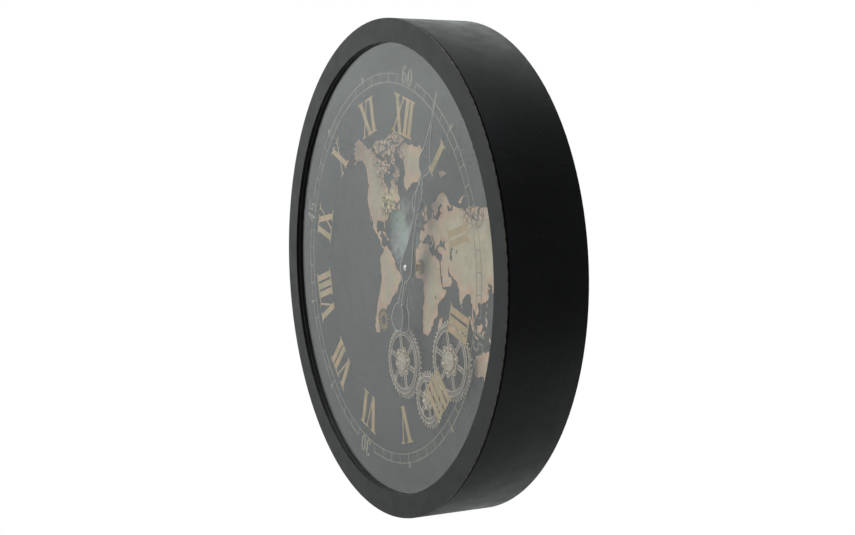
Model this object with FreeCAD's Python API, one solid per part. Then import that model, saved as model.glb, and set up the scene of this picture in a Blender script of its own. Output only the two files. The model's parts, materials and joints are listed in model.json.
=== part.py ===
# Round wall clock: world map dial, figures on the back of the lens, three display gears low on the dial.
# +Z is up towards XII, +X is to the right, the dial faces -Y, and the rim rests on the wall at y = 0.
# Sizes are in millimetres. A depth is measured from the bezel's front face towards the wall.
import math
import os

import FreeCAD
import Part

# Driving sizes of the case
case_r = 300.0
case_depth = 100.0
bezel_width = 28.2
sheet = 1.5

# Depths of the main planes, front to back
drum_front = 3.0
lip_depth = 4.5
gasket_thickness = 0.5
lens_thickness = 3.0
retainer_thickness = 1.5
well_sheet = 1.0
ledge_thickness = 1.5
dial_thickness = 2.0
works_room = 35.0
cover_thickness = 3.0
cover_setback = 5.0

# Clearances
slip = 0.02
running = 0.06
loose = 0.3
hole_gap = 0.1

drum_inner_r = case_r - sheet
window_r = case_r - bezel_width
lens_front = lip_depth + gasket_thickness
print_depth = lens_front + lens_thickness
flange_front = print_depth + retainer_thickness
ledge_front = flange_front + well_sheet
cover_back = case_depth - cover_setback
cover_depth = cover_back - cover_thickness
dial_depth = cover_depth - works_room
dial_back = dial_depth + dial_thickness

vec = FreeCAD.Vector
back = vec(0, 1, 0)


def at(x, depth, z):
    """Point of the clock from its place on the dial and its depth."""
    return vec(x, depth - case_depth, z)


def disc(radius, front, rear, x=0, z=0):
    return Part.makeCylinder(radius, rear - front, at(x, front, z), back)


def ring(outer, inner, front, rear, x=0, z=0):
    return disc(outer, front, rear, x, z).cut(disc(inner, front, rear, x, z))


def block(x0, x1, front, rear, z0, z1):
    return Part.makeBox(x1 - x0, rear - front, z1 - z0, at(x0, front, z0))


def polygon(points, depth):
    """Closed wire through (x, z) points."""
    corners = [at(x, depth, z) for x, z in points]
    return Part.makePolygon(corners + corners[:1])


def plate(wires, front, rear):
    """Plate from an outer wire and the wires of its holes, all drawn at its front."""
    return Part.makeFace(wires, "Part::FaceMakerBullseye").extrude(back * (rear - front))


def prism(points, front, rear):
    return plate([polygon(points, front)], front, rear)


def around(count, radius, phase=0, x=0, z=0):
    """Evenly spaced (x, z) places on a circle, clockwise from the top."""
    for step in range(count):
        turn = math.radians(phase + step * 360 / count)
        yield x + radius * math.sin(turn), z + radius * math.cos(turn)


def turned(shape, degrees, x=0, z=0):
    """Copy turned clockwise, as seen from the front, about an axis through (x, z)."""
    copy = shape.copy()
    copy.rotate(at(x, 0, z), back, degrees)
    return copy


def joined(shapes):
    return shapes[0].multiFuse(shapes[1:]).removeSplitter() if len(shapes) > 1 else shapes[0]


def cut_all(shape, tools):
    return shape.cut(Part.makeCompound(tools))


def save(node, *shapes):
    solids = [solid for shape in shapes for solid in shape.Solids]
    group = solids[0] if len(solids) == 1 else Part.makeCompound(solids)
    group.exportStep(f"parts/{node}.step")
    print(f"{node}: {len(solids)} solids, valid {group.isValid()}, {group.Volume:.0f} mm3")


def hex_nut(flats, bore_r, front, rear, x, z):
    corner = flats / math.sqrt(3)
    outline = polygon(list(around(6, corner, 0, x, z)), front)
    return plate([outline], front, rear).cut(disc(bore_r, front, rear, x, z))


os.makedirs("parts", exist_ok=True)

# Case: rolled drum with a ledge at each end, bezel with studs, and the stack that clamps the lens
ledge_width = 22.5
rear_ledge_width = 16.5
bezel_lip_sheet = 1.5
bezel_foot_gap = 1.0
stud_inset = 11.5
stud_count = 8
stud_r = 1.5
stud_end = 17.0
nut_flats = 5.5
nut_thickness = 2.4
lens_lap = 9.2
gasket_inset = 0.5
gasket_width = 4.7
clamp_inset = 4.5
retainer_gap = 0.2
cover_screw_inset = 10.5
cover_screw_count = 8
cover_screw_r = 1.5
cover_screw_length = 7.0
cover_head_r = 3.5
cover_head_height = 2.0

lens_r = window_r + lens_lap
gasket_r = window_r + gasket_inset
retainer_r = window_r + retainer_gap
stud_places = list(around(stud_count, drum_inner_r - stud_inset, 180 / stud_count))
screw_places = list(around(cover_screw_count, drum_inner_r - cover_screw_inset, 180 / cover_screw_count))
ledge_back = ledge_front + ledge_thickness


def drum_case():
    wall = ring(case_r, drum_inner_r, drum_front, case_depth)
    front_ledge = ring(drum_inner_r, drum_inner_r - ledge_width, ledge_front, ledge_back)
    rear_ledge_r = drum_inner_r - rear_ledge_width
    rear_ledge = ring(drum_inner_r, rear_ledge_r, cover_depth - ledge_thickness, cover_depth)
    studs = [disc(stud_r + hole_gap, ledge_front, ledge_back, x, z) for x, z in stud_places]
    screws = [
        disc(cover_screw_r + hole_gap, cover_depth - ledge_thickness, cover_depth, x, z)
        for x, z in screw_places
    ]
    return cut_all(joined([wall, front_ledge, rear_ledge]), studs + screws)


def front_bezel():
    face = ring(case_r, window_r, 0, sheet)
    lip = ring(window_r + bezel_lip_sheet, window_r, sheet, lip_depth)
    foot_r = drum_inner_r - bezel_foot_gap
    foot = ring(foot_r, foot_r - sheet, sheet, ledge_front)
    studs = [disc(stud_r, sheet, stud_end, x, z) for x, z in stud_places]
    return joined([face, lip, foot] + studs)


def clamp_ring(inner, front, rear):
    holes = [disc(stud_r + hole_gap, front, rear, x, z) for x, z in stud_places]
    return cut_all(ring(drum_inner_r - clamp_inset, inner, front, rear), holes)


save("drum_case", drum_case())
save("front_bezel", front_bezel())
save("lens_gasket", ring(gasket_r + gasket_width, gasket_r, lip_depth, lens_front))
save("glass_lens", disc(lens_r, lens_front, print_depth))
save("lens_retainer", clamp_ring(retainer_r, print_depth, flange_front))
bezel_nuts = [
    hex_nut(nut_flats, stud_r + slip, ledge_back, ledge_back + nut_thickness, x, z) for x, z in stud_places
]

# Dial well and dial: a deep drawn ring hangs on the front ledge and carries the dial on its rear flange
well_inset = 1.8
well_wall = 1.5
well_flange_width = 14.0
dial_edge_gap = 0.3
dial_stud_inset = 8.0
dial_stud_count = 6
dial_stud_length = 7.0
well_r = window_r - well_inset
well_back = dial_back + well_wall
dial_r = well_r - dial_edge_gap
dial_stud_places = list(around(dial_stud_count, well_r - dial_stud_inset, 180 / dial_stud_count))


def dial_well():
    flange = clamp_ring(well_r, flange_front, ledge_front)
    wall = ring(well_r + well_wall, well_r, ledge_front, dial_back)
    foot = ring(well_r + well_wall, well_r - well_flange_width, dial_back, well_back)
    holes = [disc(stud_r + hole_gap, dial_back, well_back, x, z) for x, z in dial_stud_places]
    return joined([flange, wall, cut_all(foot, holes)])


save("dial_well", dial_well())
dial_nuts = [
    hex_nut(nut_flats, stud_r + slip, well_back, well_back + nut_thickness, x, z) for x, z in dial_stud_places
]
save("ring_nuts", *bezel_nuts, *dial_nuts)

# Display gears: large, small and left, in mesh, with the small one placed first
gear_module = 2.0
small_teeth = 33
large_teeth = 46
left_teeth = 44
small_place = (75.0, -144.4)
large_bearing = 59.0
left_bearing = 165.8
tooth_root_share = 0.27
tooth_tip_share = 0.09
addendum_share = 1.0
dedendum_share = 1.25

rim_rise = 10.5
web_rise = 9.5
tooth_rise = 8.0
gear_rise = 6.0
sleeve_rise = 2.0
cap_rise = 12.5
backing_thickness = 0.6
rosette_thickness = 1.2
sleeve_r = 7.0
axle_r = 3.0
rim_inset = 2.0
rim_width = 5.5
spoke_half_width = 2.3
window_corner_r = 2.0
window_inner_share = 0.42
spoke_count = 6
rosette_share = 0.5
rosette_wave_share = 0.075
cap_share = 0.3
cap_edge_r = 1.0
cap_wall = 1.0
rivet_r = 1.3
rivet_height = 0.7
rivet_circle_share = 0.86

rim_depth = dial_depth - rim_rise
web_depth = dial_depth - web_rise
tooth_depth = dial_depth - tooth_rise
gear_back = dial_depth - gear_rise
sleeve_back = dial_depth - sleeve_rise
cap_depth = dial_depth - cap_rise
rosette_depth = web_depth - rosette_thickness


def beside(place, bearing, teeth, other_teeth):
    """Centre of a gear in mesh with one at a known place, in the direction of the bearing."""
    distance = gear_module * (teeth + other_teeth) / 2
    turn = math.radians(bearing)
    return place[0] + distance * math.cos(turn), place[1] + distance * math.sin(turn)


large_place = beside(small_place, large_bearing, small_teeth, large_teeth)
left_place = beside(small_place, left_bearing, small_teeth, left_teeth)


def toothed_wire(teeth, module, depth, place, phase):
    """Outline with narrow straight teeth. The phase is one tooth's direction, in degrees from +X to +Z."""
    pitch_r = module * teeth / 2
    root = pitch_r - dedendum_share * module
    tip = pitch_r + addendum_share * module
    step = 360 / teeth
    flanks = (
        (root, -tooth_root_share), (tip, -tooth_tip_share), (tip, tooth_tip_share), (root, tooth_root_share),
    )
    points = []
    for tooth in range(teeth):
        middle = phase + tooth * step
        for radius, offset in flanks:
            turn = math.radians(middle + offset * step)
            points.append((place[0] + radius * math.cos(turn), place[1] + radius * math.sin(turn)))
    return polygon(points, depth)


def mesh_phase(bearing, teeth, other_teeth, other_phase):
    """Phase of a gear whose gap takes the tooth of the other one, which lies back along the bearing."""
    lead = (bearing - other_phase) * other_teeth / teeth
    return bearing + 180 + 180 / teeth + lead


small_phase = large_bearing
large_phase = mesh_phase(large_bearing, large_teeth, small_teeth, small_phase)
left_phase = mesh_phase(left_bearing, left_teeth, small_teeth, small_phase)


def rim_radius(teeth):
    return gear_module * (teeth / 2 - dedendum_share) - rim_inset


def gear_window(place, outer, inner):
    """One window between two spokes, drawn about the top and rounded at its four corners."""
    cx, cz = place
    half_gap = math.radians(180 / spoke_count)

    def corner(radius, side):
        turn = side * (half_gap - math.asin(spoke_half_width / radius))
        return at(cx + radius * math.sin(turn), rim_depth, cz + radius * math.cos(turn))

    edges = [
        Part.Arc(corner(outer, -1), at(cx, rim_depth, cz + outer), corner(outer, 1)).toShape(),
        Part.LineSegment(corner(outer, 1), corner(inner, 1)).toShape(),
        Part.Arc(corner(inner, 1), at(cx, rim_depth, cz + inner), corner(inner, -1)).toShape(),
        Part.LineSegment(corner(inner, -1), corner(outer, -1)).toShape(),
    ]
    opening = plate([Part.Wire(edges)], rim_depth, gear_back)
    upright = [edge for edge in opening.Edges if abs(edge.tangentAt(edge.FirstParameter).y) > 0.9]
    return opening.makeFillet(window_corner_r, upright)


def gear_wheel(teeth, place, phase, bore_r):
    rim_r = rim_radius(teeth)
    web_r = rim_r - rim_width
    toothed = plate([toothed_wire(teeth, gear_module, tooth_depth, place, phase)], tooth_depth, gear_back)
    body = disc(rim_r, web_depth, gear_back, *place)
    rim = ring(rim_r, web_r, rim_depth, web_depth, *place)
    sleeve = disc(sleeve_r, gear_back, sleeve_back, *place)
    opening = gear_window(place, web_r, web_r * window_inner_share)
    openings = [turned(opening, 360 * step / spoke_count, *place) for step in range(spoke_count)]
    bore = disc(bore_r, rim_depth, sleeve_back, *place)
    return cut_all(joined([toothed, body, rim, sleeve]), openings + [bore])


def backing_disc(teeth, place):
    outer = rim_radius(teeth) - rim_width / 2
    return ring(outer, sleeve_r + slip, gear_back, gear_back + backing_thickness, *place)


def wavy_wire(place, middle_r, wave, depth):
    """Scalloped outline with as many lobes as spokes: radius = middle + wave * cos(lobes * angle)."""
    samples = 8 * spoke_count
    points = []
    for step in range(samples):
        turn = 2 * math.pi * step / samples
        radius = middle_r + wave * math.cos(spoke_count * turn)
        points.append(at(place[0] + radius * math.sin(turn), depth, place[1] + radius * math.cos(turn)))
    curve = Part.BSplineCurve()
    curve.interpolate(points, PeriodicFlag=True)
    return Part.Wire(curve.toShape())


def rosette(teeth, place):
    web_r = rim_radius(teeth) - rim_width
    middle_r = web_r * rosette_share
    sheet_metal = plate(
        [wavy_wire(place, middle_r, web_r * rosette_wave_share, rosette_depth)], rosette_depth, web_depth
    )
    sheet_metal = sheet_metal.cut(disc(web_r * cap_share - cap_wall, rosette_depth, web_depth, *place))
    rivets = [
        disc(rivet_r, rosette_depth - rivet_height, rosette_depth, x, z)
        for x, z in around(spoke_count, middle_r * rivet_circle_share, 0, *place)
    ]
    return joined([sheet_metal] + rivets)


def hub_cap(teeth, place):
    """Round cap on the rosette, hollow behind so that the axle's end and its clip have room."""
    outer = (rim_radius(teeth) - rim_width) * cap_share
    cap = disc(outer, cap_depth, rosette_depth, *place)
    front = [edge for edge in cap.Edges if edge.CenterOfMass.y < at(0, cap_depth, 0).y + slip]
    cap = cap.makeFillet(cap_edge_r, front)
    return cap.cut(disc(outer - cap_wall - cap_wall, cap_depth + cap_wall, rosette_depth, *place))


# The drive shaft carries the large gear, and two fixed studs carry the other two
bush_r = 5.0
bush_flange_r = 8.0
bush_flange_thickness = 0.75
drive_r = 3.0
drive_pivot_r = 2.0
clip_r = 5.0
clip_thickness = 0.6
clip_groove_r = 2.4
stud_thread_length = 4.5
stud_shoulder_r = 6.5
stud_flats = 9.0
stud_nut_thickness = 3.0
clip_front = web_depth - hole_gap - clip_thickness
axle_front = clip_front - clip_thickness
stud_thread_end = dial_back + stud_thread_length


def clip(place):
    return ring(clip_r, clip_groove_r + slip, clip_front, clip_front + clip_thickness, *place)


def clip_groove(place):
    return ring(axle_r, clip_groove_r, clip_front - slip, clip_front + clip_thickness + slip, *place)


def gear_stud(place):
    axle = disc(axle_r, axle_front, stud_thread_end, *place)
    shoulder = disc(stud_shoulder_r, sleeve_back + hole_gap, dial_depth, *place)
    return joined([axle.cut(clip_groove(place)), shoulder])


gear_table = {
    "large_gear": (large_teeth, large_place, large_phase, drive_r + slip),
    "small_gear": (small_teeth, small_place, small_phase, axle_r + running),
    "left_gear": (left_teeth, left_place, left_phase, axle_r + running),
}
for name, (teeth, place, phase, bore_r) in gear_table.items():
    save(name, gear_wheel(teeth, place, phase, bore_r))
    save(f"{name}_disc", backing_disc(teeth, place))
    save(f"{name}_rosette", rosette(teeth, place))
    save(f"{name}_cap", hub_cap(teeth, place))
save("gear_studs", gear_stud(small_place), gear_stud(left_place))
save("stud_clips", clip(small_place), clip(left_place))
save("stud_nuts", *[
    hex_nut(stud_flats, axle_r + slip, dial_back, dial_back + stud_nut_thickness, *place)
    for place in (small_place, left_place)
])

# Gearbox and motor behind the large gear
box_wall = 1.5
box_half_width = 16.0
box_depth = 15.0
output_teeth = 48
pinion_teeth = 12
drive_module = 0.5
output_thickness = 3.0
output_gap = 2.5
motor_r = 10.0
motor_length = 15.0
motor_boss_r = 3.5
motor_shaft_r = 1.0
terminal_reach = 3.0
terminal_half_height = 6.0
terminal_inset = 1.0
pinion_overlap = 0.6

gearbox_front = dial_back
gearbox_back = gearbox_front + box_depth
gearbox_rear = gearbox_back + sheet
output_depth = gearbox_front + box_wall + output_gap
motor_drop = drive_module * (output_teeth + pinion_teeth) / 2
motor_place = (large_place[0], large_place[1] - motor_drop)
motor_bearing = -90.0
output_phase = 0.0
pinion_phase = mesh_phase(motor_bearing, pinion_teeth, output_teeth, output_phase)
pinion_front = output_depth - pinion_overlap
pinion_back = output_depth + output_thickness + pinion_overlap
motor_rear = gearbox_rear + motor_length
terminal_x = motor_place[0] - motor_r - terminal_reach


def gearbox_case():
    x, z = large_place
    top = z + box_half_width
    low = motor_place[1] - motor_r
    outer = block(x - box_half_width, x + box_half_width, gearbox_front, gearbox_back, low, top)
    room = block(
        x - box_half_width + box_wall, x + box_half_width - box_wall,
        gearbox_front + box_wall, gearbox_back, low + box_wall, top - box_wall,
    )
    bore = disc(bush_r + slip, gearbox_front, gearbox_front + box_wall, x, z)
    return outer.cut(room).cut(bore)


def gearbox_cover():
    x, z = large_place
    low = motor_place[1] - motor_r
    lid = block(
        x - box_half_width, x + box_half_width, gearbox_back, gearbox_rear, low, z + box_half_width
    )
    pivot = disc(drive_pivot_r + running, gearbox_back, gearbox_rear, x, z)
    return lid.cut(pivot).cut(disc(motor_boss_r + hole_gap, gearbox_back, gearbox_rear, *motor_place))


def drive_shaft():
    shaft = disc(drive_r, axle_front, pinion_back, *large_place)
    pivot = disc(drive_pivot_r, output_depth, gearbox_rear, *large_place)
    collar = disc(sleeve_r, sleeve_back, sleeve_back + bush_flange_thickness, *large_place)
    return joined([shaft, pivot, collar])


def drive_bush():
    flange_front = dial_depth - bush_flange_thickness
    flange = disc(bush_flange_r, flange_front, dial_depth, *large_place)
    body = disc(bush_r, dial_depth, gearbox_front + box_wall, *large_place)
    bore = disc(drive_r + running, flange_front, gearbox_front + box_wall, *large_place)
    return joined([flange, body]).cut(bore)


def gear_motor():
    can = disc(motor_r, gearbox_rear, motor_rear, *motor_place)
    boss = disc(motor_boss_r, gearbox_back, gearbox_rear, *motor_place)
    terminals = block(
        terminal_x, motor_place[0] - motor_r / 2, gearbox_rear + terminal_inset, motor_rear - terminal_inset,
        motor_place[1] - terminal_half_height, motor_place[1] + terminal_half_height,
    )
    bore = disc(motor_shaft_r + running, gearbox_back, gearbox_rear + motor_length / 2, *motor_place)
    return joined([can, boss, terminals]).cut(bore)


def spur(teeth, module, front, rear, place, phase):
    return plate([toothed_wire(teeth, module, front, place, phase)], front, rear)


output_wheel = spur(
    output_teeth, drive_module, output_depth, output_depth + output_thickness, large_place, output_phase
)
motor_pinion = joined([
    spur(pinion_teeth, drive_module, pinion_front, pinion_back, motor_place, pinion_phase),
    disc(motor_shaft_r, pinion_front, gearbox_rear + motor_length / 2 - hole_gap, *motor_place),
])
save("drive_shaft", drive_shaft())
save("drive_bush", drive_bush())
save("output_wheel", output_wheel.cut(
    disc(drive_r + slip, output_depth, output_depth + output_thickness, *large_place)
))
save("gearbox_case", gearbox_case())
save("gearbox_cover", gearbox_cover())
save("gear_motor", gear_motor())
save("motor_pinion", motor_pinion)

# Movement: hour tube round the minute arbor, motion wheel beside them, cell bay below
movement_half_width = 28.0
movement_top = 26.7
washer_thickness = 1.0
washer_r = 12.0
movement_depth = 14.5
movement_cover_thickness = 1.5
bay_top = -13.0
bay_wall = 1.0
cell_r = 7.25
cell_length = 50.5
cell_gap = 0.3
cell_nub_r = 2.75
cell_nub_length = 1.0
arbor_r = 2.0
arbor_tip_r = 1.5
arbor_pivot_r = 1.0
tube_wall = 1.5
tube_seat_wall = 0.9
bushing_r = 5.0
bushing_front = 47.0
bushing_flats = 14.0
bushing_nut_thickness = 2.5
brass_washer_r = 9.0
brass_washer_thickness = 0.5
motion_distance = 13.0
motion_bearing = 35.0
cannon_teeth = 12
motion_wheel_teeth = 36
motion_pinion_teeth = 10
hour_wheel_teeth = 40
wheel_thickness = 2.0
wheel_gap = 0.5
cannon_gap = 2.0
cannon_length = 3.0
motion_sheet = 1.0
arbor_shoulder = 1.0
motion_arbor_r = 1.2
knob_r = 6.0
knob_height = 4.6
knob_gap = 0.4
knob_ribs = 18
coil_r = 3.5
coil_length = 16.0
coil_end_sheet = 1.5
coil_centre = (-14.0, 19.0)
minute_rise = 21.0
hour_rise = 16.0
hand_sheet = 1.0
tip_rise = 24.0
cap_nut_r = 4.0
cap_nut_top = 1.0

minute_depth = dial_depth - minute_rise
hour_depth = dial_depth - hour_rise
tip_depth = dial_depth - tip_rise
movement_front = dial_back + washer_thickness
brass_washer_front = dial_depth - brass_washer_thickness
room_front = movement_front + box_wall
movement_back = movement_front + movement_depth
movement_rear = movement_back + movement_cover_thickness
cell_z = bay_top - cell_gap - cell_r
movement_low = cell_z - cell_r - cell_gap - box_wall
tube_inner_r = arbor_r + hole_gap
tube_r = tube_inner_r + tube_wall
tube_seat_r = tube_inner_r + tube_seat_wall
tube_front = hour_depth - wheel_gap
cannon_module = 2 * motion_distance / (cannon_teeth + motion_wheel_teeth)
hour_module = 2 * motion_distance / (motion_pinion_teeth + hour_wheel_teeth)
motion_turn = math.radians(motion_bearing)
motion_place = (motion_distance * math.cos(motion_turn), motion_distance * math.sin(motion_turn))
hour_wheel_front = room_front + wheel_gap
hour_wheel_back = hour_wheel_front + wheel_thickness
cannon_front = hour_wheel_back + cannon_gap
cannon_back = cannon_front + cannon_length
knob_front = movement_rear + knob_gap
knob_back = knob_front + knob_height
knob_module = 2 * knob_r / (knob_ribs + 2)
centre = (0, 0)


def movement_case():
    outer = block(
        -movement_half_width, movement_half_width, movement_front, movement_back, movement_low, movement_top
    )
    inner_x = movement_half_width - box_wall
    room = block(-inner_x, inner_x, room_front, movement_back, bay_top + bay_wall, movement_top - box_wall)
    bay_front = movement_back - cell_r - cell_r - cell_gap
    bay = block(-inner_x, inner_x, bay_front, movement_back, movement_low + box_wall, bay_top)
    bore = disc(bushing_r + slip, movement_front, room_front)
    pivot = disc(motion_arbor_r + running, movement_front + bay_wall, room_front, *motion_place)
    return outer.cut(room).cut(bay).cut(bore).cut(pivot)


def movement_cover():
    lid = block(
        -movement_half_width, movement_half_width, movement_back, movement_rear, bay_top, movement_top
    )
    holes = [
        disc(arbor_pivot_r + running, movement_back, movement_rear),
        disc(motion_arbor_r + running, movement_back, movement_rear, *motion_place),
    ]
    return cut_all(lid, holes)


def minute_arbor():
    return joined([
        disc(arbor_tip_r, tip_depth + cap_nut_top, minute_depth + hand_sheet),
        disc(arbor_r, minute_depth + hand_sheet, cannon_back + arbor_shoulder),
        disc(arbor_pivot_r, cannon_back, movement_rear - hole_gap),
        spur(cannon_teeth, cannon_module, cannon_front, cannon_back, centre, motion_bearing),
    ])


def hour_tube():
    tube = disc(tube_r, hour_depth + hand_sheet, hour_wheel_back)
    seat = disc(tube_seat_r, tube_front, hour_depth + hand_sheet)
    wheel = spur(hour_wheel_teeth, hour_module, hour_wheel_front, hour_wheel_back, centre, motion_bearing)
    return joined([tube, seat, wheel]).cut(disc(tube_inner_r, tube_front, hour_wheel_back))


def motion_wheel():
    wheel_phase = mesh_phase(motion_bearing, motion_wheel_teeth, cannon_teeth, motion_bearing)
    pinion_turn = mesh_phase(motion_bearing, motion_pinion_teeth, hour_wheel_teeth, motion_bearing)
    leaves = (room_front + hole_gap, hour_wheel_back + motion_sheet)
    wheel_span = (cannon_front + wheel_gap, cannon_front + wheel_gap + motion_sheet)
    return joined([
        disc(motion_arbor_r, movement_front + bay_wall + hole_gap, knob_back, *motion_place),
        spur(motion_pinion_teeth, hour_module, *leaves, motion_place, pinion_turn),
        spur(motion_wheel_teeth, cannon_module, *wheel_span, motion_place, wheel_phase),
    ])


def bushing():
    return ring(bushing_r, tube_r + hole_gap, bushing_front, room_front)


def stepper_coil():
    x, z = coil_centre
    half = coil_length / 2
    middle = room_front + coil_r + coil_end_sheet
    winding = Part.makeCylinder(coil_r, coil_length, at(x - half, middle, z), vec(1, 0, 0))
    reach = coil_r + coil_end_sheet
    edge = coil_end_sheet / 2
    ends = [
        block(x + side - edge, x + side + edge, room_front, middle + reach, z - reach, z + reach)
        for side in (-half, half)
    ]
    return joined([winding] + ends)


def cap_nut():
    nut = disc(cap_nut_r, tip_depth, minute_depth)
    crown = [edge for edge in nut.Edges if edge.CenterOfMass.y < at(0, tip_depth, 0).y + slip]
    dome = nut.makeFillet(cap_nut_r / 2, crown)
    return dome.cut(disc(arbor_tip_r + slip, tip_depth + cap_nut_top, minute_depth))


def lying_cell(x0, depth, z):
    start = at(x0, depth, z)
    along = vec(1, 0, 0)
    sleeve = Part.makeCylinder(cell_r, cell_length - cell_nub_length, start, along)
    return joined([sleeve, Part.makeCylinder(cell_nub_r, cell_length, start, along)])


save("movement_case", movement_case())
save("movement_cover", movement_cover())
save("minute_arbor", minute_arbor())
save("hour_tube", hour_tube())
save("motion_wheel", motion_wheel())
save("setting_knob", spur(knob_ribs, knob_module, knob_front, knob_back, motion_place, 0).cut(
    disc(motion_arbor_r + slip, knob_front, knob_back, *motion_place)
))
save("threaded_bushing", bushing())
save("rubber_washer", ring(washer_r, bushing_r + slip, dial_back, movement_front))
save("bushing_nut", hex_nut(
    bushing_flats, bushing_r + slip, brass_washer_front - bushing_nut_thickness, brass_washer_front, 0, 0
), ring(brass_washer_r, bushing_r + slip, brass_washer_front, dial_depth))
save("stepper_coil", stepper_coil())
save("movement_cell", lying_cell(-cell_length / 2, movement_back - cell_r, cell_z))
save("cap_nut", cap_nut())

# Hands: drop-shaped tail, waist with a collar, and a leaf on a long point
minute_length = 226.0
hour_length = 130.0
tail_length = 85.0
drop_half_width = 15.5
minute_angle = 6.3
hour_angle = 0.5
tail_shares = (
    (
        (1.0, 0.0), (0.976, 0.52), (0.93, 0.84), (0.86, 1.0), (0.776, 0.94), (0.68, 0.74), (0.61, 0.45),
        (0.576, 0.17),
    ),
    ((0.576, 0.17), (0.559, 0.355)),
    ((0.559, 0.355), (0.535, 0.355)),
    ((0.535, 0.355), (0.518, 0.17)),
    ((0.518, 0.17), (0.294, 0.18), (0.212, 0.26), (0.165, 0.52), (0.094, 0.84), (0.024, 0.97)),
)
minute_blade_shares = (
    (
        (0.031, 0.87), (0.097, 0.61), (0.164, 0.41), (0.257, 0.245), (0.354, 0.32), (0.434, 0.48),
        (0.473, 0.32), (0.487, 0.155),
    ),
    ((0.487, 0.155), (0.491, 0.355)),
    ((0.491, 0.355), (0.502, 0.355)),
    ((0.502, 0.355), (0.507, 0.155)),
    (
        (0.507, 0.155), (0.535, 0.22), (0.558, 0.645), (0.58, 0.90), (0.611, 0.97), (0.65, 0.74),
        (0.686, 0.516),
    ),
    ((0.686, 0.516), (0.73, 0.335), (0.774, 0.206), (0.841, 0.103), (0.929, 0.065), (1.0, 0.026)),
)
hour_blade_shares = (
    ((0.054, 0.87), (0.154, 0.58), (0.269, 0.32), (0.385, 0.206), (0.477, 0.168)),
    ((0.477, 0.168), (0.485, 0.32)),
    ((0.485, 0.32), (0.504, 0.32)),
    ((0.504, 0.32), (0.512, 0.18)),
    ((0.512, 0.18), (0.531, 0.32), (0.569, 0.77), (0.615, 0.93), (0.662, 0.90), (0.723, 0.58), (0.785, 0.32)),
    ((0.785, 0.32), (0.846, 0.142), (0.923, 0.077), (1.0, 0.026)),
)


def stretch_edge(points):
    if len(points) == 2:
        return Part.LineSegment(*points).toShape()
    curve = Part.BSplineCurve()
    curve.interpolate(points)
    return curve.toShape()


def hand(length, blade_shares, depth, bore_r, angle):
    """Both flanks are the same stretches, mirrored, from the tail's round end to the tip."""
    stretches = [[(-tail_length * along, wide) for along, wide in stretch] for stretch in tail_shares]
    stretches.append([stretches[-1][-1], (length * blade_shares[0][0][0], blade_shares[0][0][1])])
    stretches += [[(length * along, wide) for along, wide in stretch] for stretch in blade_shares]
    edges = []
    for side in (-1, 1):
        for stretch in stretches:
            points = [at(side * drop_half_width * wide, depth, along) for along, wide in stretch]
            edges.append(stretch_edge(points))
    tip = stretches[-1][-1]
    edges.append(stretch_edge([at(side * drop_half_width * tip[1], depth, tip[0]) for side in (-1, 1)]))
    outline = Part.Wire(Part.sortEdges(edges)[0])
    blank = plate([outline], depth, depth + hand_sheet).cut(disc(bore_r, depth, depth + hand_sheet))
    return turned(blank, angle)


save("minute_hand", hand(minute_length, minute_blade_shares, minute_depth, arbor_tip_r + slip, minute_angle))
save("hour_hand", hand(hour_length, hour_blade_shares, hour_depth, tube_seat_r + slip, hour_angle))

# Figures and minute track, laid on the back of the lens
print_thickness = 0.2
numeral_gap_to_track = 12.5
numeral_height = 44.5
numeral_stroke = 8.0
numeral_hair = 2.6
numeral_serif = 2.2
numeral_serif_reach = 3.4
numeral_gap = 3.2
letter_v_width = 27.0
letter_x_width = 27.0
track_inset = 36.6
track_width = 10.7
track_line = 1.0
tick_line = 1.0
minutes = 60
quarter = 15
marker_reach = 6.0
marker_half_width = 2.4
digit_height = 21.5
digit_width = 12.0
digit_thick = 3.4
digit_thin = 1.5
digit_gap = 2.5
number_rise = 1.5
digit_steps = 24
digit_bowl_share = 0.62
digit_upper_bowl_share = 0.53
digit_flag_share = 0.7
digit_bar_share = 0.45
print_back = print_depth + print_thickness
track_outer_r = window_r - track_inset
track_inner_r = track_outer_r - track_width
numeral_outer_r = track_inner_r - numeral_gap_to_track


def printed(points):
    return prism(points, print_depth, print_back)


def slanted(x0, x1, wide):
    """Stroke of a letter from its foot at x0 to its head at x1, as wide as stated along the writing."""
    half = wide / 2
    top = numeral_height / 2
    return printed([(x0 - half, -top), (x0 + half, -top), (x1 + half, top), (x1 - half, top)])


def serif(x, wide, edge):
    """Flat serif across a stroke's end, on the edge at the letter's head or foot."""
    half = wide / 2 + numeral_serif_reach
    inward = edge - numeral_serif * math.copysign(1, edge)
    low, top = sorted((edge, inward))
    return printed([(x - half, low), (x + half, low), (x + half, top), (x - half, top)])


def letter_shapes(letter, x):
    """Strokes and serifs of one letter centred on x, with its feet towards the dial's centre."""
    top = numeral_height / 2
    if letter == "I":
        return [slanted(x, x, numeral_stroke)] + [serif(x, numeral_stroke, edge) for edge in (top, -top)]
    if letter == "V":
        half = (letter_v_width - numeral_stroke) / 2
        return [
            slanted(x, x - half, numeral_stroke), slanted(x, x + half, numeral_hair),
            serif(x - half, numeral_stroke, top), serif(x + half, numeral_hair, top),
        ]
    half = (letter_x_width - numeral_stroke) / 2
    return [
        slanted(x + half, x - half, numeral_stroke), slanted(x - half, x + half, numeral_hair),
        serif(x - half, numeral_stroke, top), serif(x + half, numeral_hair, top),
        serif(x + half, numeral_stroke, -top), serif(x - half, numeral_hair, -top),
    ]


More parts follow.
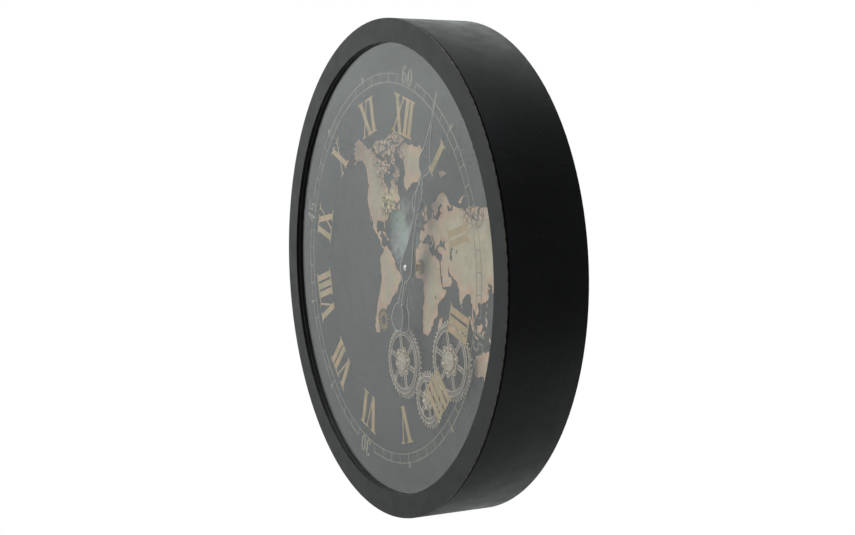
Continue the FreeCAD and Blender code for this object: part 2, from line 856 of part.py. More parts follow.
def numeral(text, hour):
    widths = {"I": numeral_stroke, "V": letter_v_width, "X": letter_x_width}
    total = sum(widths[letter] for letter in text) + numeral_gap * (len(text) - 1)
    x = -total / 2
    shapes = []
    for letter in text:
        shapes += letter_shapes(letter, x + widths[letter] / 2)
        x += widths[letter] + numeral_gap
    figure = joined(shapes)
    figure.translate(vec(0, 0, numeral_outer_r - numeral_height / 2))
    return turned(figure, 30 * hour)


def oval_band(x, z, half_width, half_height, start, end):
    """Arc of a digit's bowl, thick at its sides: both edges are ellipses, from the start angle to the end."""
    edges = []
    for wide, tall in ((half_width, half_height), (half_width - digit_thick, half_height - digit_thin)):
        turns = [math.radians(start + (end - start) * step / digit_steps) for step in range(digit_steps + 1)]
        edges.append([(x + wide * math.sin(turn), z + tall * math.cos(turn)) for turn in turns])
    outer, inner = edges
    if end - start < 360:
        return printed(outer + inner[::-1])
    return plate([polygon(edge[:-1], print_depth) for edge in edges], print_depth, print_back)


def bar(x0, x1, z0, z1):
    return printed([(x0, z0), (x1, z0), (x1, z1), (x0, z1)])


def digit_shapes(digit, x):
    wide, tall = digit_width / 2, digit_height / 2
    low = -tall
    bowl = tall * digit_bowl_share
    upper_bowl = tall * digit_upper_bowl_share
    flag = wide * digit_flag_share
    beam = low * digit_bar_share
    if digit == "0":
        return [oval_band(x, 0, wide, tall, 0, 360)]
    if digit == "1":
        stem = bar(x - digit_thick / 2, x + digit_thick / 2, low, tall)
        return [stem, bar(x - wide / 2, x + wide / 2, low, low + digit_thin)]
    if digit == "6":
        return [oval_band(x, low + bowl, wide, bowl, 0, 360), oval_band(x, 0, wide, tall, 200, 400)]
    if digit == "5":
        return [
            bar(x - flag, x + wide, tall - digit_thin, tall),
            bar(x - wide, x - wide + digit_thin, 0, tall),
            oval_band(x, low + bowl, wide, bowl, -60, 230),
        ]
    if digit == "3":
        upper = oval_band(x, tall - upper_bowl, wide, upper_bowl, -70, 160)
        return [upper, oval_band(x, low + bowl, wide, bowl, 0, 250)]
    return [
        bar(x, x + digit_thick, low, tall),
        bar(x - wide, x + wide, beam, beam + digit_thin),
        printed([(x - wide, beam), (x - wide + digit_thin, beam), (x + digit_thin, tall), (x, tall)]),
    ]


def minute_number(text, minute):
    x = -(digit_width + digit_gap) / 2
    shapes = []
    for place, digit in enumerate(text):
        shapes += digit_shapes(digit, x + place * (digit_width + digit_gap))
    number = joined(shapes)
    number.translate(vec(0, 0, track_outer_r + number_rise))
    return turned(number, minute * 360 / minutes)


def minute_track():
    """Two rings with a tick at each minute. The outer ring stops beside each of the four numbers."""
    step = 360 / minutes
    inner = ring(track_inner_r + track_line / 2, track_inner_r - track_line / 2, print_depth, print_back)
    outer = ring(track_outer_r + track_line / 2, track_outer_r - track_line / 2, print_depth, print_back)
    gap_half = track_outer_r * math.tan(math.radians(step))
    gap_low, gap_high = track_outer_r - marker_reach, track_outer_r + marker_reach
    gap = block(-gap_half, gap_half, print_depth, print_back, gap_low, gap_high)
    outer = cut_all(outer, [turned(gap, quarter * place * step) for place in range(4)])
    tick = bar(-tick_line / 2, tick_line / 2, track_inner_r, track_outer_r)
    ticks = [turned(tick, minute * step) for minute in range(minutes) if minute % quarter]
    star = printed([
        (0, track_outer_r - marker_reach), (marker_half_width / 2, track_outer_r),
        (marker_half_width, track_outer_r + marker_reach), (-marker_half_width, track_outer_r + marker_reach),
        (-marker_half_width / 2, track_outer_r),
    ])
    stars = [turned(star, minute * step) for minute in range(0, minutes, 5) if minute % quarter]
    return joined([inner, outer] + ticks + stars)


hours = ("XII", "I", "II", "III", "IIII", "V", "VI", "VII", "VIII", "IX", "X", "XI")
save("hour_numerals", *[numeral(text, hour) for hour, text in enumerate(hours)])
save("minute_track", minute_track())
save("minute_numbers", *[
    minute_number(text, minute) for text, minute in (("60", 0), ("15", 15), ("30", 30), ("45", 45))
])

# World map: coasts as longitude and latitude in degrees, on a conformal cylinder of the stated degree width
map_degree_width = 1.367
map_equator = 22.0
map_north_limit = 77.0
map_relief = 0.5
map_edge_inset = 8.0
map_centre_r = 11.0
cog_place = (-84.0, -102.0)
cog_r = 15.0
cog_teeth = 14
cog_module = cog_r / (cog_teeth / 2 + 1)
cog_hole_share = 0.45
coast_degrees = {
    "north_america": (
        (-166, 66), (-160, 69), (-140, 68), (-118, 69), (-95, 72), (-84, 69), (-86, 64), (-94, 59), (-82, 55),
        (-79, 52), (-77, 61), (-69, 60), (-64, 59), (-56, 52), (-66, 49), (-61, 46), (-70, 43), (-76, 36),
        (-81, 31), (-80, 25), (-83, 29), (-90, 29), (-97, 27), (-97, 21), (-91, 19), (-87, 21), (-88, 16),
        (-83, 15), (-82, 9), (-78, 8), (-85, 10), (-95, 16), (-105, 20), (-112, 28), (-110, 23), (-117, 32),
        (-124, 40), (-124, 48), (-133, 56), (-146, 60), (-158, 56), (-165, 54), (-158, 59), (-165, 62),
    ),
    "south_america": (
        (-77, 8), (-72, 12), (-62, 10), (-51, 4), (-44, -2), (-35, -6), (-39, -15), (-41, -22), (-48, -27),
        (-54, -34), (-57, -39), (-61, -44), (-65, -50), (-66, -58), (-77, -58), (-77, -45), (-76, -30),
        (-75, -17), (-80, -12), (-83, -5), (-82, 1),
    ),
    "africa": (
        (-6, 36), (10, 37), (11, 33), (20, 31), (32, 31), (36, 23), (43, 12), (51, 12), (47, 4), (40, -4),
        (41, -15), (35, -20), (33, -27), (25, -37), (17, -38), (12, -18), (13, -8), (9, 3), (0, 6), (-8, 4),
        (-17, 14), (-16, 22), (-10, 31),
    ),
    "eurasia": (
        (-9, 37), (-9, 43), (-2, 44), (-4, 48), (4, 52), (8, 57), (12, 55), (20, 55), (28, 60), (18, 61),
        (22, 65), (12, 57), (6, 59), (11, 64), (20, 67), (32, 67), (41, 63), (57, 66), (70, 68), (90, 70),
        (100, 72), (115, 72), (140, 71), (160, 69), (178, 67), (178, 63), (164, 60), (162, 56), (157, 51),
        (156, 57), (150, 60), (138, 55), (140, 48), (130, 43), (128, 35), (121, 39), (119, 36), (122, 31),
        (115, 22), (108, 21), (109, 12), (104, 9), (100, 13), (103, 2), (98, 9), (94, 17), (88, 22), (80, 15),
        (77, 8), (73, 18), (66, 25), (57, 26), (59, 22), (52, 16), (44, 13), (38, 22), (34, 29), (36, 36),
        (28, 37), (24, 38), (19, 42), (13, 45), (18, 40), (12, 42), (8, 44), (0, 40),
    ),
    "greenland": ((-73, 77), (-60, 75), (-54, 70), (-50, 62), (-44, 60), (-40, 65), (-24, 70), (-20, 77)),
    "australia": (
        (114, -22), (122, -18), (130, -12), (136, -12), (140, -17), (142, -11), (146, -19), (153, -26),
        (150, -37), (141, -38), (136, -33), (124, -33), (115, -34),
    ),
    "madagascar": ((44, -16), (50, -15), (47, -25), (44, -24)),
    "borneo": ((109, 1), (117, 6), (118, 0), (115, -4), (110, -3)),
    "sumatra": ((95, 5), (104, -2), (106, -6), (100, -1)),
    "new_guinea": ((131, -1), (141, -3), (150, -10), (142, -9), (135, -4)),
    "japan": ((130, 32), (136, 37), (141, 44), (144, 43), (141, 36), (135, 34)),
    "great_britain": ((-5, 50), (1, 52), (-2, 58), (-6, 57), (-3, 54)),
    "new_zealand": ((167, -46), (173, -41), (178, -38), (173, -35), (174, -42), (171, -45)),
}


def map_point(longitude, latitude):
    latitude = min(latitude, map_north_limit)
    northing = math.degrees(math.log(math.tan(math.radians(45 + latitude / 2))))
    return map_degree_width * longitude, map_degree_width * northing - map_equator


def map_land():
    bounds = disc(well_r - map_edge_inset, dial_depth - map_relief, dial_depth)
    middle = disc(map_centre_r, dial_depth - map_relief, dial_depth)
    cog_room = disc(cog_r + loose, dial_depth - map_relief, dial_depth, *cog_place)
    lands = []
    for coast in coast_degrees.values():
        land = prism([map_point(*place) for place in coast], dial_depth - map_relief, dial_depth)
        lands.append(cut_all(land.common(bounds), [middle, cog_room]))
    return lands


def map_cog():
    cog = spur(cog_teeth, cog_module, dial_depth - map_relief, dial_depth, cog_place, 0)
    return cog.cut(disc(cog_r * cog_hole_share, dial_depth - map_relief, dial_depth, *cog_place))


def dial_plate():
    plain = disc(dial_r, dial_depth, dial_back)
    studs = [disc(stud_r, dial_back, dial_back + dial_stud_length, x, z) for x, z in dial_stud_places]
    holes = [
        disc(bushing_r + slip, dial_depth, dial_back),
        disc(bush_r + slip, dial_depth, dial_back, *large_place),
        disc(axle_r + slip, dial_depth, dial_back, *small_place),
        disc(axle_r + slip, dial_depth, dial_back, *left_place),
    ]
    return cut_all(joined([plain] + studs), holes)


save("dial_plate", dial_plate())
save("map_land", *map_land())
save("map_ornament", map_cog())

# Back: cover with two windows, sliding battery lid, switch, keyhole hanger and screws
cover_edge_gap = 1.5
lid_thickness = 1.6
rail_width = 4.0
rail_lip = 1.6
rail_lip_thickness = 1.2
rail_end = 2.0
lid_grip_height = 1.0
grip_width = 2.0
grip_inset = 3.0
battery_place = (0.0, -110.0)
battery_count = 2
battery_pitch = 15.5
battery_wall = 1.5
battery_end_gap = 2.5
battery_box_depth = 18.0
access_margin = 3.0
switch_place = (64.0, -106.0)
switch_length = 20.0
switch_height = 8.0
switch_depth = 6.0
slider_length = 6.0
slider_height = 4.0
slider_travel = 4.0
slider_rise = 5.0
slider_gap = 0.3
hanger_inset = 54.0
hanger_head_r = 5.0
hanger_slot = 5.0
hanger_rise = 12.0
hanger_width = 40.0
hanger_margin = 10.0
hanger_room = 4.0

hanger_z = case_r - hanger_inset
cavity_half_x = cell_length / 2 + battery_end_gap
cavity_half_z = (battery_count * battery_pitch + loose) / 2
box_half_x = cavity_half_x + battery_wall
box_half_z = cavity_half_z + battery_wall
lid_half_z = box_half_z + battery_wall
lid_travel = 2 * cavity_half_x
lid_front = cover_back + hole_gap
lid_back = lid_front + lid_thickness


def battery_room(front, rear):
    x, z = battery_place
    return block(x - cavity_half_x, x + cavity_half_x, front, rear, z - cavity_half_z, z + cavity_half_z)


def battery_box():
    x, z = battery_place
    front = cover_depth - battery_box_depth
    outer = block(x - box_half_x, x + box_half_x, front, cover_depth, z - box_half_z, z + box_half_z)
    return outer.cut(battery_room(front + battery_wall, cover_depth))


def battery_cells():
    x, z = battery_place
    depth = cover_depth - battery_box_depth + battery_wall + loose + cell_r
    lowest = z - battery_pitch * (battery_count - 1) / 2
    levels = [lowest + place * battery_pitch for place in range(battery_count)]
    return [lying_cell(x - cell_length / 2, depth, level) for level in levels]


def lid_rail(side):
    """Rail of the battery lid above or below its window, with a lip over it and room to slide left."""
    x, z = battery_place
    x0, x1 = x - box_half_x - lid_travel, x + box_half_x + rail_end
    edge = lid_half_z + slider_gap
    low, high = sorted((z + side * edge, z + side * (edge + rail_width)))
    lip_low, lip_high = sorted((z + side * (edge - rail_lip), z + side * (edge + rail_width)))
    lip_front = lid_back + hole_gap
    return joined([
        block(x0, x1, cover_back, lip_front, low, high),
        block(x0, x1, lip_front, lip_front + rail_lip_thickness, lip_low, lip_high),
    ])


def back_cover():
    sheet_metal = disc(drum_inner_r - cover_edge_gap, cover_depth, cover_back)
    access_half = movement_half_width + access_margin
    cuts = [
        block(
            -access_half, access_half, cover_depth, cover_back,
            movement_low - access_margin, movement_top + access_margin,
        ),
        battery_room(cover_depth, cover_back),
        slider_slot(cover_depth, cover_back),
        block(
            -hanger_head_r - hanger_room, hanger_head_r + hanger_room, cover_depth, cover_back,
            hanger_z - hanger_head_r - hanger_room, hanger_z + hanger_rise + hanger_room,
        ),
    ]
    cuts += [disc(cover_screw_r + hole_gap, cover_depth, cover_back, px, pz) for px, pz in screw_places]
    return cut_all(sheet_metal, cuts)


def battery_lid():
    x, z = battery_place
    lid = block(x - box_half_x, x + box_half_x, lid_front, lid_back, z - lid_half_z, z + lid_half_z)
    grip_x = x + box_half_x - grip_inset
    grip = block(
        grip_x - grip_width, grip_x, lid_back, lid_back + lid_grip_height,
        z - cavity_half_z / 2, z + cavity_half_z / 2,
    )
    return joined([lid, grip])


def slider_slot(front, rear):
    x, z = switch_place
    half = (slider_length + slider_travel) / 2 + slider_gap
    half_z = slider_height / 2 + slider_gap
    return block(x - half, x + half, front, rear, z - half_z, z + half_z)


def switch_body():
    x, z = switch_place
    outer = block(
        x - switch_length / 2, x + switch_length / 2, cover_depth - switch_depth, cover_depth,
        z - switch_height / 2, z + switch_height / 2,
    )
    return outer.cut(slider_slot(cover_depth - switch_depth / 2, cover_depth))


def switch_slider():
    """Slider in its off place, at the left end of the slot."""
    x, z = switch_place
    x0 = x - (slider_length + slider_travel) / 2
    return block(
        x0, x0 + slider_length, cover_depth - switch_depth / 2 + hole_gap, cover_back + slider_rise / 2,
        z - slider_height / 2, z + slider_height / 2,
    )


def hanger_plate():
    low, high = hanger_z - hanger_head_r - hanger_margin, hanger_z + hanger_rise + hanger_margin
    sheet_metal = block(-hanger_width / 2, hanger_width / 2, cover_back, cover_back + sheet, low, high)
    head = disc(hanger_head_r, cover_back, cover_back + sheet, 0, hanger_z)
    half = hanger_slot / 2
    slot = block(-half, half, cover_back, cover_back + sheet, hanger_z, hanger_z + hanger_rise)
    end = disc(half, cover_back, cover_back + sheet, 0, hanger_z + hanger_rise)
    return sheet_metal.cut(joined([head, slot, end]))


def cover_screw(x, z):
    shank = disc(cover_screw_r, cover_back - cover_screw_length, cover_back, x, z)
    head = disc(cover_head_r, cover_back, cover_back + cover_head_height, x, z)
    return joined([shank, head])


save("back_cover", back_cover())
save("lid_rails", lid_rail(-1), lid_rail(1))
save("battery_box", battery_box())
save("battery_cells", *battery_cells())
save("battery_lid", battery_lid())
save("switch_body", switch_body())
save("switch_slider", switch_slider())
save("hanger_plate", hanger_plate())
save("back_screws", *[cover_screw(x, z) for x, z in screw_places])

# Leads: battery box to switch, switch to motor, and battery box to motor
lead_r = 0.8
arc_share = 0.45
red_lead_gap = 4.0
black_lead_gap = 10.0
lead_bend = 8.0
long_bend = 20.0
red_rise = 4.0
terminal_offset = 2.4


def lead(points, depth):
    """Round lead along straight runs joined by tangent arcs, with its radii and its length printed."""
    corners = [at(x, depth, z) for x, z in points]
    edges, start, radii = [], corners[0], []
    for before, corner, after in zip(corners, corners[1:], corners[2:]):
        inward, outward = (before - corner).normalize(), (after - corner).normalize()
        half_turn = (math.pi - inward.getAngle(outward)) / 2
        reach = arc_share * min((corner - before).Length, (after - corner).Length)
        radius = reach / math.tan(half_turn)
        first, last = corner + inward * reach, corner + outward * reach
        inside = (inward + outward).normalize()
        middle = corner + inside * (radius / math.cos(half_turn) - radius)
        edges += [Part.LineSegment(start, first).toShape(), Part.Arc(first, middle, last).toShape()]
        radii.append(round(radius, 1))
        start = last
    edges.append(Part.LineSegment(start, corners[-1]).toShape())
    path = Part.Wire(edges)
    length = path.Length
    section = Part.Wire(Part.makeCircle(lead_r, corners[0], corners[1] - corners[0]))
    tube = path.makePipeShell([section], True, False)
    ratio = tube.Volume / (math.pi * lead_r**2 * length)
    print(f"lead: radii {radii}, length {length:.1f}, volume ratio {ratio:.4f}")
    return tube


red_depth = cover_depth - red_lead_gap
black_depth = cover_depth - black_lead_gap
box_side = battery_place[0] + box_half_x
switch_left = switch_place[0] - switch_length / 2
switch_right = switch_place[0] + switch_length / 2
red_z = switch_place[1]
motor_red_z = motor_place[1] - terminal_offset
motor_black_z = motor_place[1] - terminal_half_height + terminal_offset
black_z = battery_place[1] - lead_bend
save("lead_red", lead([
    (box_side, red_z + red_rise), (box_side + lead_bend, red_z + red_rise),
    (switch_left - lead_bend, red_z), (switch_left, red_z),
], red_depth), lead([
    (switch_right, red_z), (switch_right + lead_bend, red_z),
    (terminal_x - lead_bend, motor_red_z), (terminal_x, motor_red_z),
], red_depth))
save("lead_black", lead([
    (box_side, black_z), (box_side + long_bend, black_z),
    (terminal_x - long_bend, motor_black_z), (terminal_x, motor_black_z),
], black_depth))
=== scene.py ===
import json
import math

import bmesh
import bpy
import numpy as np
from mathutils import Matrix, Vector
from mathutils.geometry import delaunay_2d_cdt


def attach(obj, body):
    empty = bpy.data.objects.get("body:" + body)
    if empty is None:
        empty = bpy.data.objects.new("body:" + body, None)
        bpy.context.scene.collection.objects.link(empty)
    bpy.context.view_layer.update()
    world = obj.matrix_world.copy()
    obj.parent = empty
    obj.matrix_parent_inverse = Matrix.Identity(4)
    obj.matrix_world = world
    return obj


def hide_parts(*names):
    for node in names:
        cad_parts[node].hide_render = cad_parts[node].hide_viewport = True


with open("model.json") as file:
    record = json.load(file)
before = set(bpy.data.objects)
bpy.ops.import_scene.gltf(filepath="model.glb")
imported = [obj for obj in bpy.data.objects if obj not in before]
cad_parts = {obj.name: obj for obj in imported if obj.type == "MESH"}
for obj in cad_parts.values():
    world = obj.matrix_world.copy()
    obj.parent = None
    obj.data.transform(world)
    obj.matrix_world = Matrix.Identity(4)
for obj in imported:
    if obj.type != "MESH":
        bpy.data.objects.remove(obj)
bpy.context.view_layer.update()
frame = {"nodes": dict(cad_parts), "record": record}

mm = 0.001
front = -100 * mm  # plane of the bezel's front, from which all depths count
dialDepth = 57 * mm


# Scene colour from a hex sRGB code: a share of 255, straight in the dark and raised to 2.4 above it
def linear(code):
    parts = [int(code[i:i + 2], 16) / 255 for i in (1, 3, 5)]
    return tuple(c / 12.92 if c <= 0.04045 else ((c + 0.055) / 1.055) ** 2.4 for c in parts) + (1,)


# The nodes of one material, or of the world
class Nodes:
    def __init__(self, owner, coordinates="Object"):
        owner.use_nodes = True
        self.owner, self.tree = owner, owner.node_tree
        self.tree.nodes.clear()
        self.point = self.add("TexCoord", out=coordinates)

    # Adds a node: sets its options, links or sets each input, and gives back the output asked for
    def add(self, kind, inputs=None, out=0, **options):
        node = self.tree.nodes.new("ShaderNode" + kind)
        for key, value in options.items():
            setattr(node, key, value)
        for key, value in (inputs or {}).items():
            if isinstance(value, bpy.types.NodeSocket):
                self.tree.links.new(value, node.inputs[key])
            else:
                node.inputs[key].default_value = value
        return node.outputs[out] if node.outputs else None

    # Soft patches of a real size: noise at one over the size, whose values from low to high
    # are spread evenly from first to last
    def patches(self, size, low, high, first=0.0, last=1.0, detail=4, rough=0.55):
        noise = self.add("TexNoise", {
            "Vector": self.point, "Scale": 1 / size, "Detail": detail, "Roughness": rough,
        })
        spread = {"Value": noise, "From Min": low, "From Max": high, "To Min": first, "To Max": last}
        return self.add("MapRange", spread)

    # Joins the finished shader to the output
    def done(self, shader, output="OutputMaterial"):
        self.add(output, {0: shader})
        return self.owner


paintFacts = {"cloud": 60 * mm, "speck": 2.5 * mm, "gleam": 25 * mm, "dust": "#6b6259"}


# Sprayed paint: two darks in broad clouds, specks of dust on top, and a gleam that rises and falls
# in patches; its grain is finer in truth, and drawn as coarse as it needs to show
def wornPaint(name, dark, light, rough, grain=0.4 * mm, depth=0.02 * mm, dust=0.5, shine=0.5):
    s = Nodes(bpy.data.materials.new(name))
    clouds = s.patches(paintFacts["cloud"], 0.35, 0.7, detail=5)
    specks = s.patches(paintFacts["speck"], 0.62, 0.75, 0, dust, detail=3)
    ground = s.add("Mix", {0: clouds, 6: linear(dark), 7: linear(light)}, 2, data_type="RGBA")
    color = s.add("Mix", {0: specks, 6: ground, 7: linear(paintFacts["dust"])}, 2, data_type="RGBA")
    gleam = s.patches(paintFacts["gleam"], 0.3, 0.7, rough - 0.06, rough + 0.08)
    relief = s.add("TexNoise", {"Vector": s.point, "Scale": 1 / grain, "Detail": 2, "Roughness": 0.55})
    return s.done(s.add("BsdfPrincipled", {
        "Base Color": color, "Roughness": gleam, "Specular IOR Level": shine,
        "Normal": s.add("Bump", {"Height": relief, "Distance": depth}),
    }))


metalFacts = {"scratch": 0.8 * mm, "smoother": 0.08, "rougher": 0.12}  # real scratches are too fine to show


# Metal: tarnish in patches over the bright colour, and scratches, packed closer along an axis by its
# number in grain, which both raise the surface and roughen it
def agedMetal(name, bright, tarnish, rough, grain=(1, 1, 1), patch=9 * mm, metal=1.0, depth=0.03 * mm):
    s = Nodes(bpy.data.materials.new(name))
    stains = s.patches(patch, 0.38, 0.68, detail=6, rough=0.65)
    color = s.add("Mix", {0: stains, 6: linear(bright), 7: linear(tarnish)}, 2, data_type="RGBA")
    brushed = s.add("Mapping", {"Vector": s.point, "Scale": grain})
    scratches = s.add("TexNoise", {
        "Vector": brushed, "Scale": 1 / metalFacts["scratch"], "Detail": 3, "Roughness": 0.55,
    })
    gleam = s.add("MapRange", {
        "Value": scratches, "From Min": 0.3, "From Max": 0.7,
        "To Min": rough - metalFacts["smoother"], "To Max": rough + metalFacts["rougher"],
    })
    return s.done(s.add("BsdfPrincipled", {
        "Base Color": color, "Roughness": gleam, "Metallic": metal,
        "Normal": s.add("Bump", {"Height": scratches, "Distance": depth}),
    }))


mouldFacts = {"patch": 12 * mm, "trace": 0.0525, "grey": "#8a8a86", "texture": 0.5 * mm, "depth": 0.02 * mm}


# Moulded plastic or rubber: one colour, greyed by a trace in patches, under the texture of the mould,
# which is drawn coarser than it is, to show
def moulded(name, code, rough=0.45):
    s = Nodes(bpy.data.materials.new(name))
    greyed = s.patches(mouldFacts["patch"], 0.3, 0.7, 0, mouldFacts["trace"], detail=3)
    color = s.add("Mix", {0: greyed, 6: linear(code), 7: linear(mouldFacts["grey"])}, 2, data_type="RGBA")
    texture = s.add("TexNoise", {
        "Vector": s.point, "Scale": 1 / mouldFacts["texture"], "Detail": 2, "Roughness": 0.55,
    })
    return s.done(s.add("BsdfPrincipled", {
        "Base Color": color, "Roughness": rough,
        "Normal": s.add("Bump", {"Height": texture, "Distance": mouldFacts["depth"]}),
    }))


# Float glass, polished: it mirrors the pale room as a grey veil over the dial, and where a ray only
# looks for a lamp it is clear, so that the light reaches the dial
def clearLens():
    s = Nodes(bpy.data.materials.new("polished_float_glass"))
    glass = s.add("BsdfPrincipled", {
        "Base Color": linear("#f6faf9"), "Roughness": 0.0, "IOR": 1.5, "Transmission Weight": 1.0,
    })
    clear = s.add("BsdfTransparent", {"Color": linear("#f6f7f7")})
    shadow = s.add("LightPath", out="Is Shadow Ray")
    return s.done(s.add("MixShader", {0: shadow, 1: glass, 2: clear}))


looks = {
    # satin enamel sprayed on steel: near black with a soft grey gleam
    "black_paint": wornPaint("satin_black_enamel", "#0b0b0d", "#131316", 0.36, dust=0.25, shine=0.3),
    # matt paint inside the well: swallows the light
    "inner_black": wornPaint("matt_black_paint", "#070707", "#101010", 0.6, dust=0.2),
    # extruded rubber: dull black without a highlight
    "black_rubber": moulded("moulded_rubber", "#121212", 0.7),
    "clear_lens": clearLens(),
    # zinc plated steel: cool grey, slightly clouded
    "bare_steel": agedMetal("zinc_plated_steel", "#b9bcc0", "#85878a", 0.3, metal=1.0),
    # drawn steel can of the motor: grey with fine rings round it
    "motor_steel": agedMetal("drawn_steel", "#a5a7a9", "#6c6e70", 0.35, (1, 8, 1)),
    # old gold ink on the back of the glass: flat, without a metal gleam, dulled in places
    "figure_gold": agedMetal("old_gold_ink", "#b58e62", "#8c8053", 0.55, metal=0.0, patch=16 * mm),
    # antiqued brass sheet: brown grey, only the rubbed spots catch light
    "gear_brass": agedMetal("antiqued_brass", "#7d6c60", "#53443b", 0.4, patch=7 * mm, metal=0.25),
    # dark brown paint behind the spokes, a painted shade for the gear's windows: a shadow that isn't black
    "gear_dark": wornPaint("dark_brown_shade_paint", "#150d0d", "#1f1414", 0.5),
    # pressed brass rosette: warmer and brighter than its gear
    "rosette_brass": agedMetal("pressed_brass", "#9c866c", "#5d4a36", 0.38, patch=4 * mm, metal=0.3),
    # turned brass cap: the palest spot of each gear
    "cap_brass": agedMetal("turned_pale_brass", "#cbb9a4", "#806c58", 0.32, patch=5 * mm, metal=0.35),
    # blackened aluminium hands: dark with a dim sheen
    "hand_gunmetal": agedMetal("blackened_aluminium", "#201c1b", "#100e0e", 0.42, patch=14 * mm, metal=0.2),
    # polished nickel nut: a small white glint
    "bright_nickel": agedMetal("polished_nickel", "#e6e4df", "#b5b2ab", 0.15),
    # turned brass of the works: yellow with rings of tool marks
    "machined_brass": agedMetal("turned_brass", "#c8a765", "#8c6f3c", 0.28, (1, 6, 1)),
    # ABS with a fine moulded texture: soft black
    "black_moulding": moulded("moulded_black_abs", "#141416"),
    # natural acetal: milky white, slightly waxy
    "white_moulding": moulded("natural_acetal", "#d8d6cf", 0.4),
    # enamelled copper wire: orange brown, ribbed round the coil
    "copper_winding": agedMetal("enamelled_copper_wire", "#b06a3c", "#7b4424", 0.35, (12, 1, 1)),
    # shrunk plastic sleeve of the cells: glossy near black
    "cell_sleeve": moulded("shrunk_sleeve", "#1a1b1f", 0.3),
    # painted hardboard: brown grey with a coarse pressed grain
    "back_board": wornPaint("painted_hardboard", "#37322e", "#47403a", 0.65, grain=1.2 * mm, depth=0.06 * mm),
    # soft PVC of the leads: plain and slightly shiny
    "red_insulation": moulded("red_soft_pvc", "#a01a16", 0.4),
    "black_insulation": moulded("black_soft_pvc", "#161616", 0.4),
    # gilded foil of the small cog: satin yellow
    "map_gold": agedMetal("gilded_foil", "#b79257", "#7d5f35", 0.35, metal=0.9),
}

spotWave = 26 * mm  # size of the noise that bends a spot's edge

# Places of the dial with a tint of their own, by their centre, reach and fade
spotFacts = {
    "silverSea": {"x": -52 * mm, "z": 18 * mm, "reach": 14 * mm, "fade": 34 * mm, "wobble": 20 * mm},
    "greenSea": {"x": -75 * mm, "z": 38 * mm, "reach": 2 * mm, "fade": 24 * mm},
    "goldLand": {"x": -108 * mm, "z": 48 * mm, "reach": 6 * mm, "fade": 24 * mm},
    "northWest": {"x": -122 * mm, "z": 112 * mm, "reach": 30 * mm, "fade": 30 * mm},
    "goldCrackle": {"x": -108 * mm, "z": 44 * mm, "reach": 8 * mm, "fade": 20 * mm},
    "northEast": {"x": 105 * mm, "z": 112 * mm, "reach": 16 * mm, "fade": 22 * mm},
}


# Share of a spot: 1 within its reach and falling evenly to 0 over its fade, by the distance from
# its centre, which a noise lengthens and shortens where the edge wobbles
def near(s, x, z, reach, fade, wobble=0.0):
    away = s.add("VectorMath", {0: s.point, 1: (-x, -front - dialDepth, -z)}, operation="ADD")
    distance = s.add("VectorMath", {0: away}, "Value", operation="LENGTH")
    if wobble:
        shift = s.patches(spotWave, 0.3, 0.7, -wobble, wobble, detail=6, rough=0.65)
        distance = s.add("Math", {0: distance, 1: shift}, operation="ADD")
    fall = {"Value": distance, "From Min": reach, "From Max": reach + fade, "To Min": 1, "To Max": 0}
    return s.add("MapRange", fall)


dialFacts = {
    "ground": ("#1a1715", "#34352f"), "silver": "#a4aaa6", "green": "#8b9a80", "dust": "#5a5145",
    "cloud": 70 * mm, "silverCloud": 28 * mm, "greenCloud": 5 * mm, "speck": 4 * mm, "sheen": 9 * mm,
    "relief": 0.03 * mm, "metal": 0.35,
}


# Lacquered dial: brown black ground in broad clouds, a silvery patch in the Atlantic, a green one
# beside it, and dust, each a share of its colour over the last; a low uneven sheen
def dialLook():
    s = Nodes(bpy.data.materials.new("lacquered_dial"))
    first, last = (linear(code) for code in dialFacts["ground"])
    clouds = s.patches(dialFacts["cloud"], 0.35, 0.7, detail=6, rough=0.6)
    color = s.add("Mix", {0: clouds, 6: first, 7: last}, 2, data_type="RGBA")
    silverCloud = s.patches(dialFacts["silverCloud"], 0.25, 0.55, 0.25, 1, detail=6, rough=0.65)
    greenCloud = s.patches(dialFacts["greenCloud"], 0.4, 0.6, detail=5)
    layers = {
        "silver": s.add("Math", {0: near(s, **spotFacts["silverSea"]), 1: silverCloud}, operation="MULTIPLY"),
        "green": s.add("Math", {0: near(s, **spotFacts["greenSea"]), 1: greenCloud}, operation="MULTIPLY"),
        "dust": s.patches(dialFacts["speck"], 0.55, 0.75, 0, 0.4, detail=5, rough=0.7),
    }
    for part, share in layers.items():
        color = s.add("Mix", {0: share, 6: color, 7: linear(dialFacts[part])}, 2, data_type="RGBA")
    relief = s.add("TexNoise", {
        "Vector": s.point, "Scale": 1 / dialFacts["speck"], "Detail": 3, "Roughness": 0.55,
    })
    return s.done(s.add("BsdfPrincipled", {
        "Base Color": color, "Roughness": s.patches(dialFacts["sheen"], 0.3, 0.7, 0.42, 0.58),
        "Metallic": dialFacts["metal"],
        "Normal": s.add("Bump", {"Height": relief, "Distance": dialFacts["relief"]}),
    }))


landFacts = {
    "inland": ("#cbb99b", "#b3a288"), "shore": ("#deb498", "#c39a7c"), "brushed": "#8f7b62",
    "gold": "#e2cc8e", "stain": "#5b4a3b", "crackle": "#2f241e", "metal": 0.3, "relief": 0.5 * mm,
    "shoreWidth": 16 * mm, "shoreWander": 8 * mm, "wave": 22 * mm, "cloud": 30 * mm, "blush": 12 * mm,
    "stroke": 2.2 * mm, "fleck": 9 * mm, "spot": 7 * mm, "swirl": 6 * mm, "bend": 0.012, "cell": 7.5 * mm,
    "lump": 5 * mm,
}


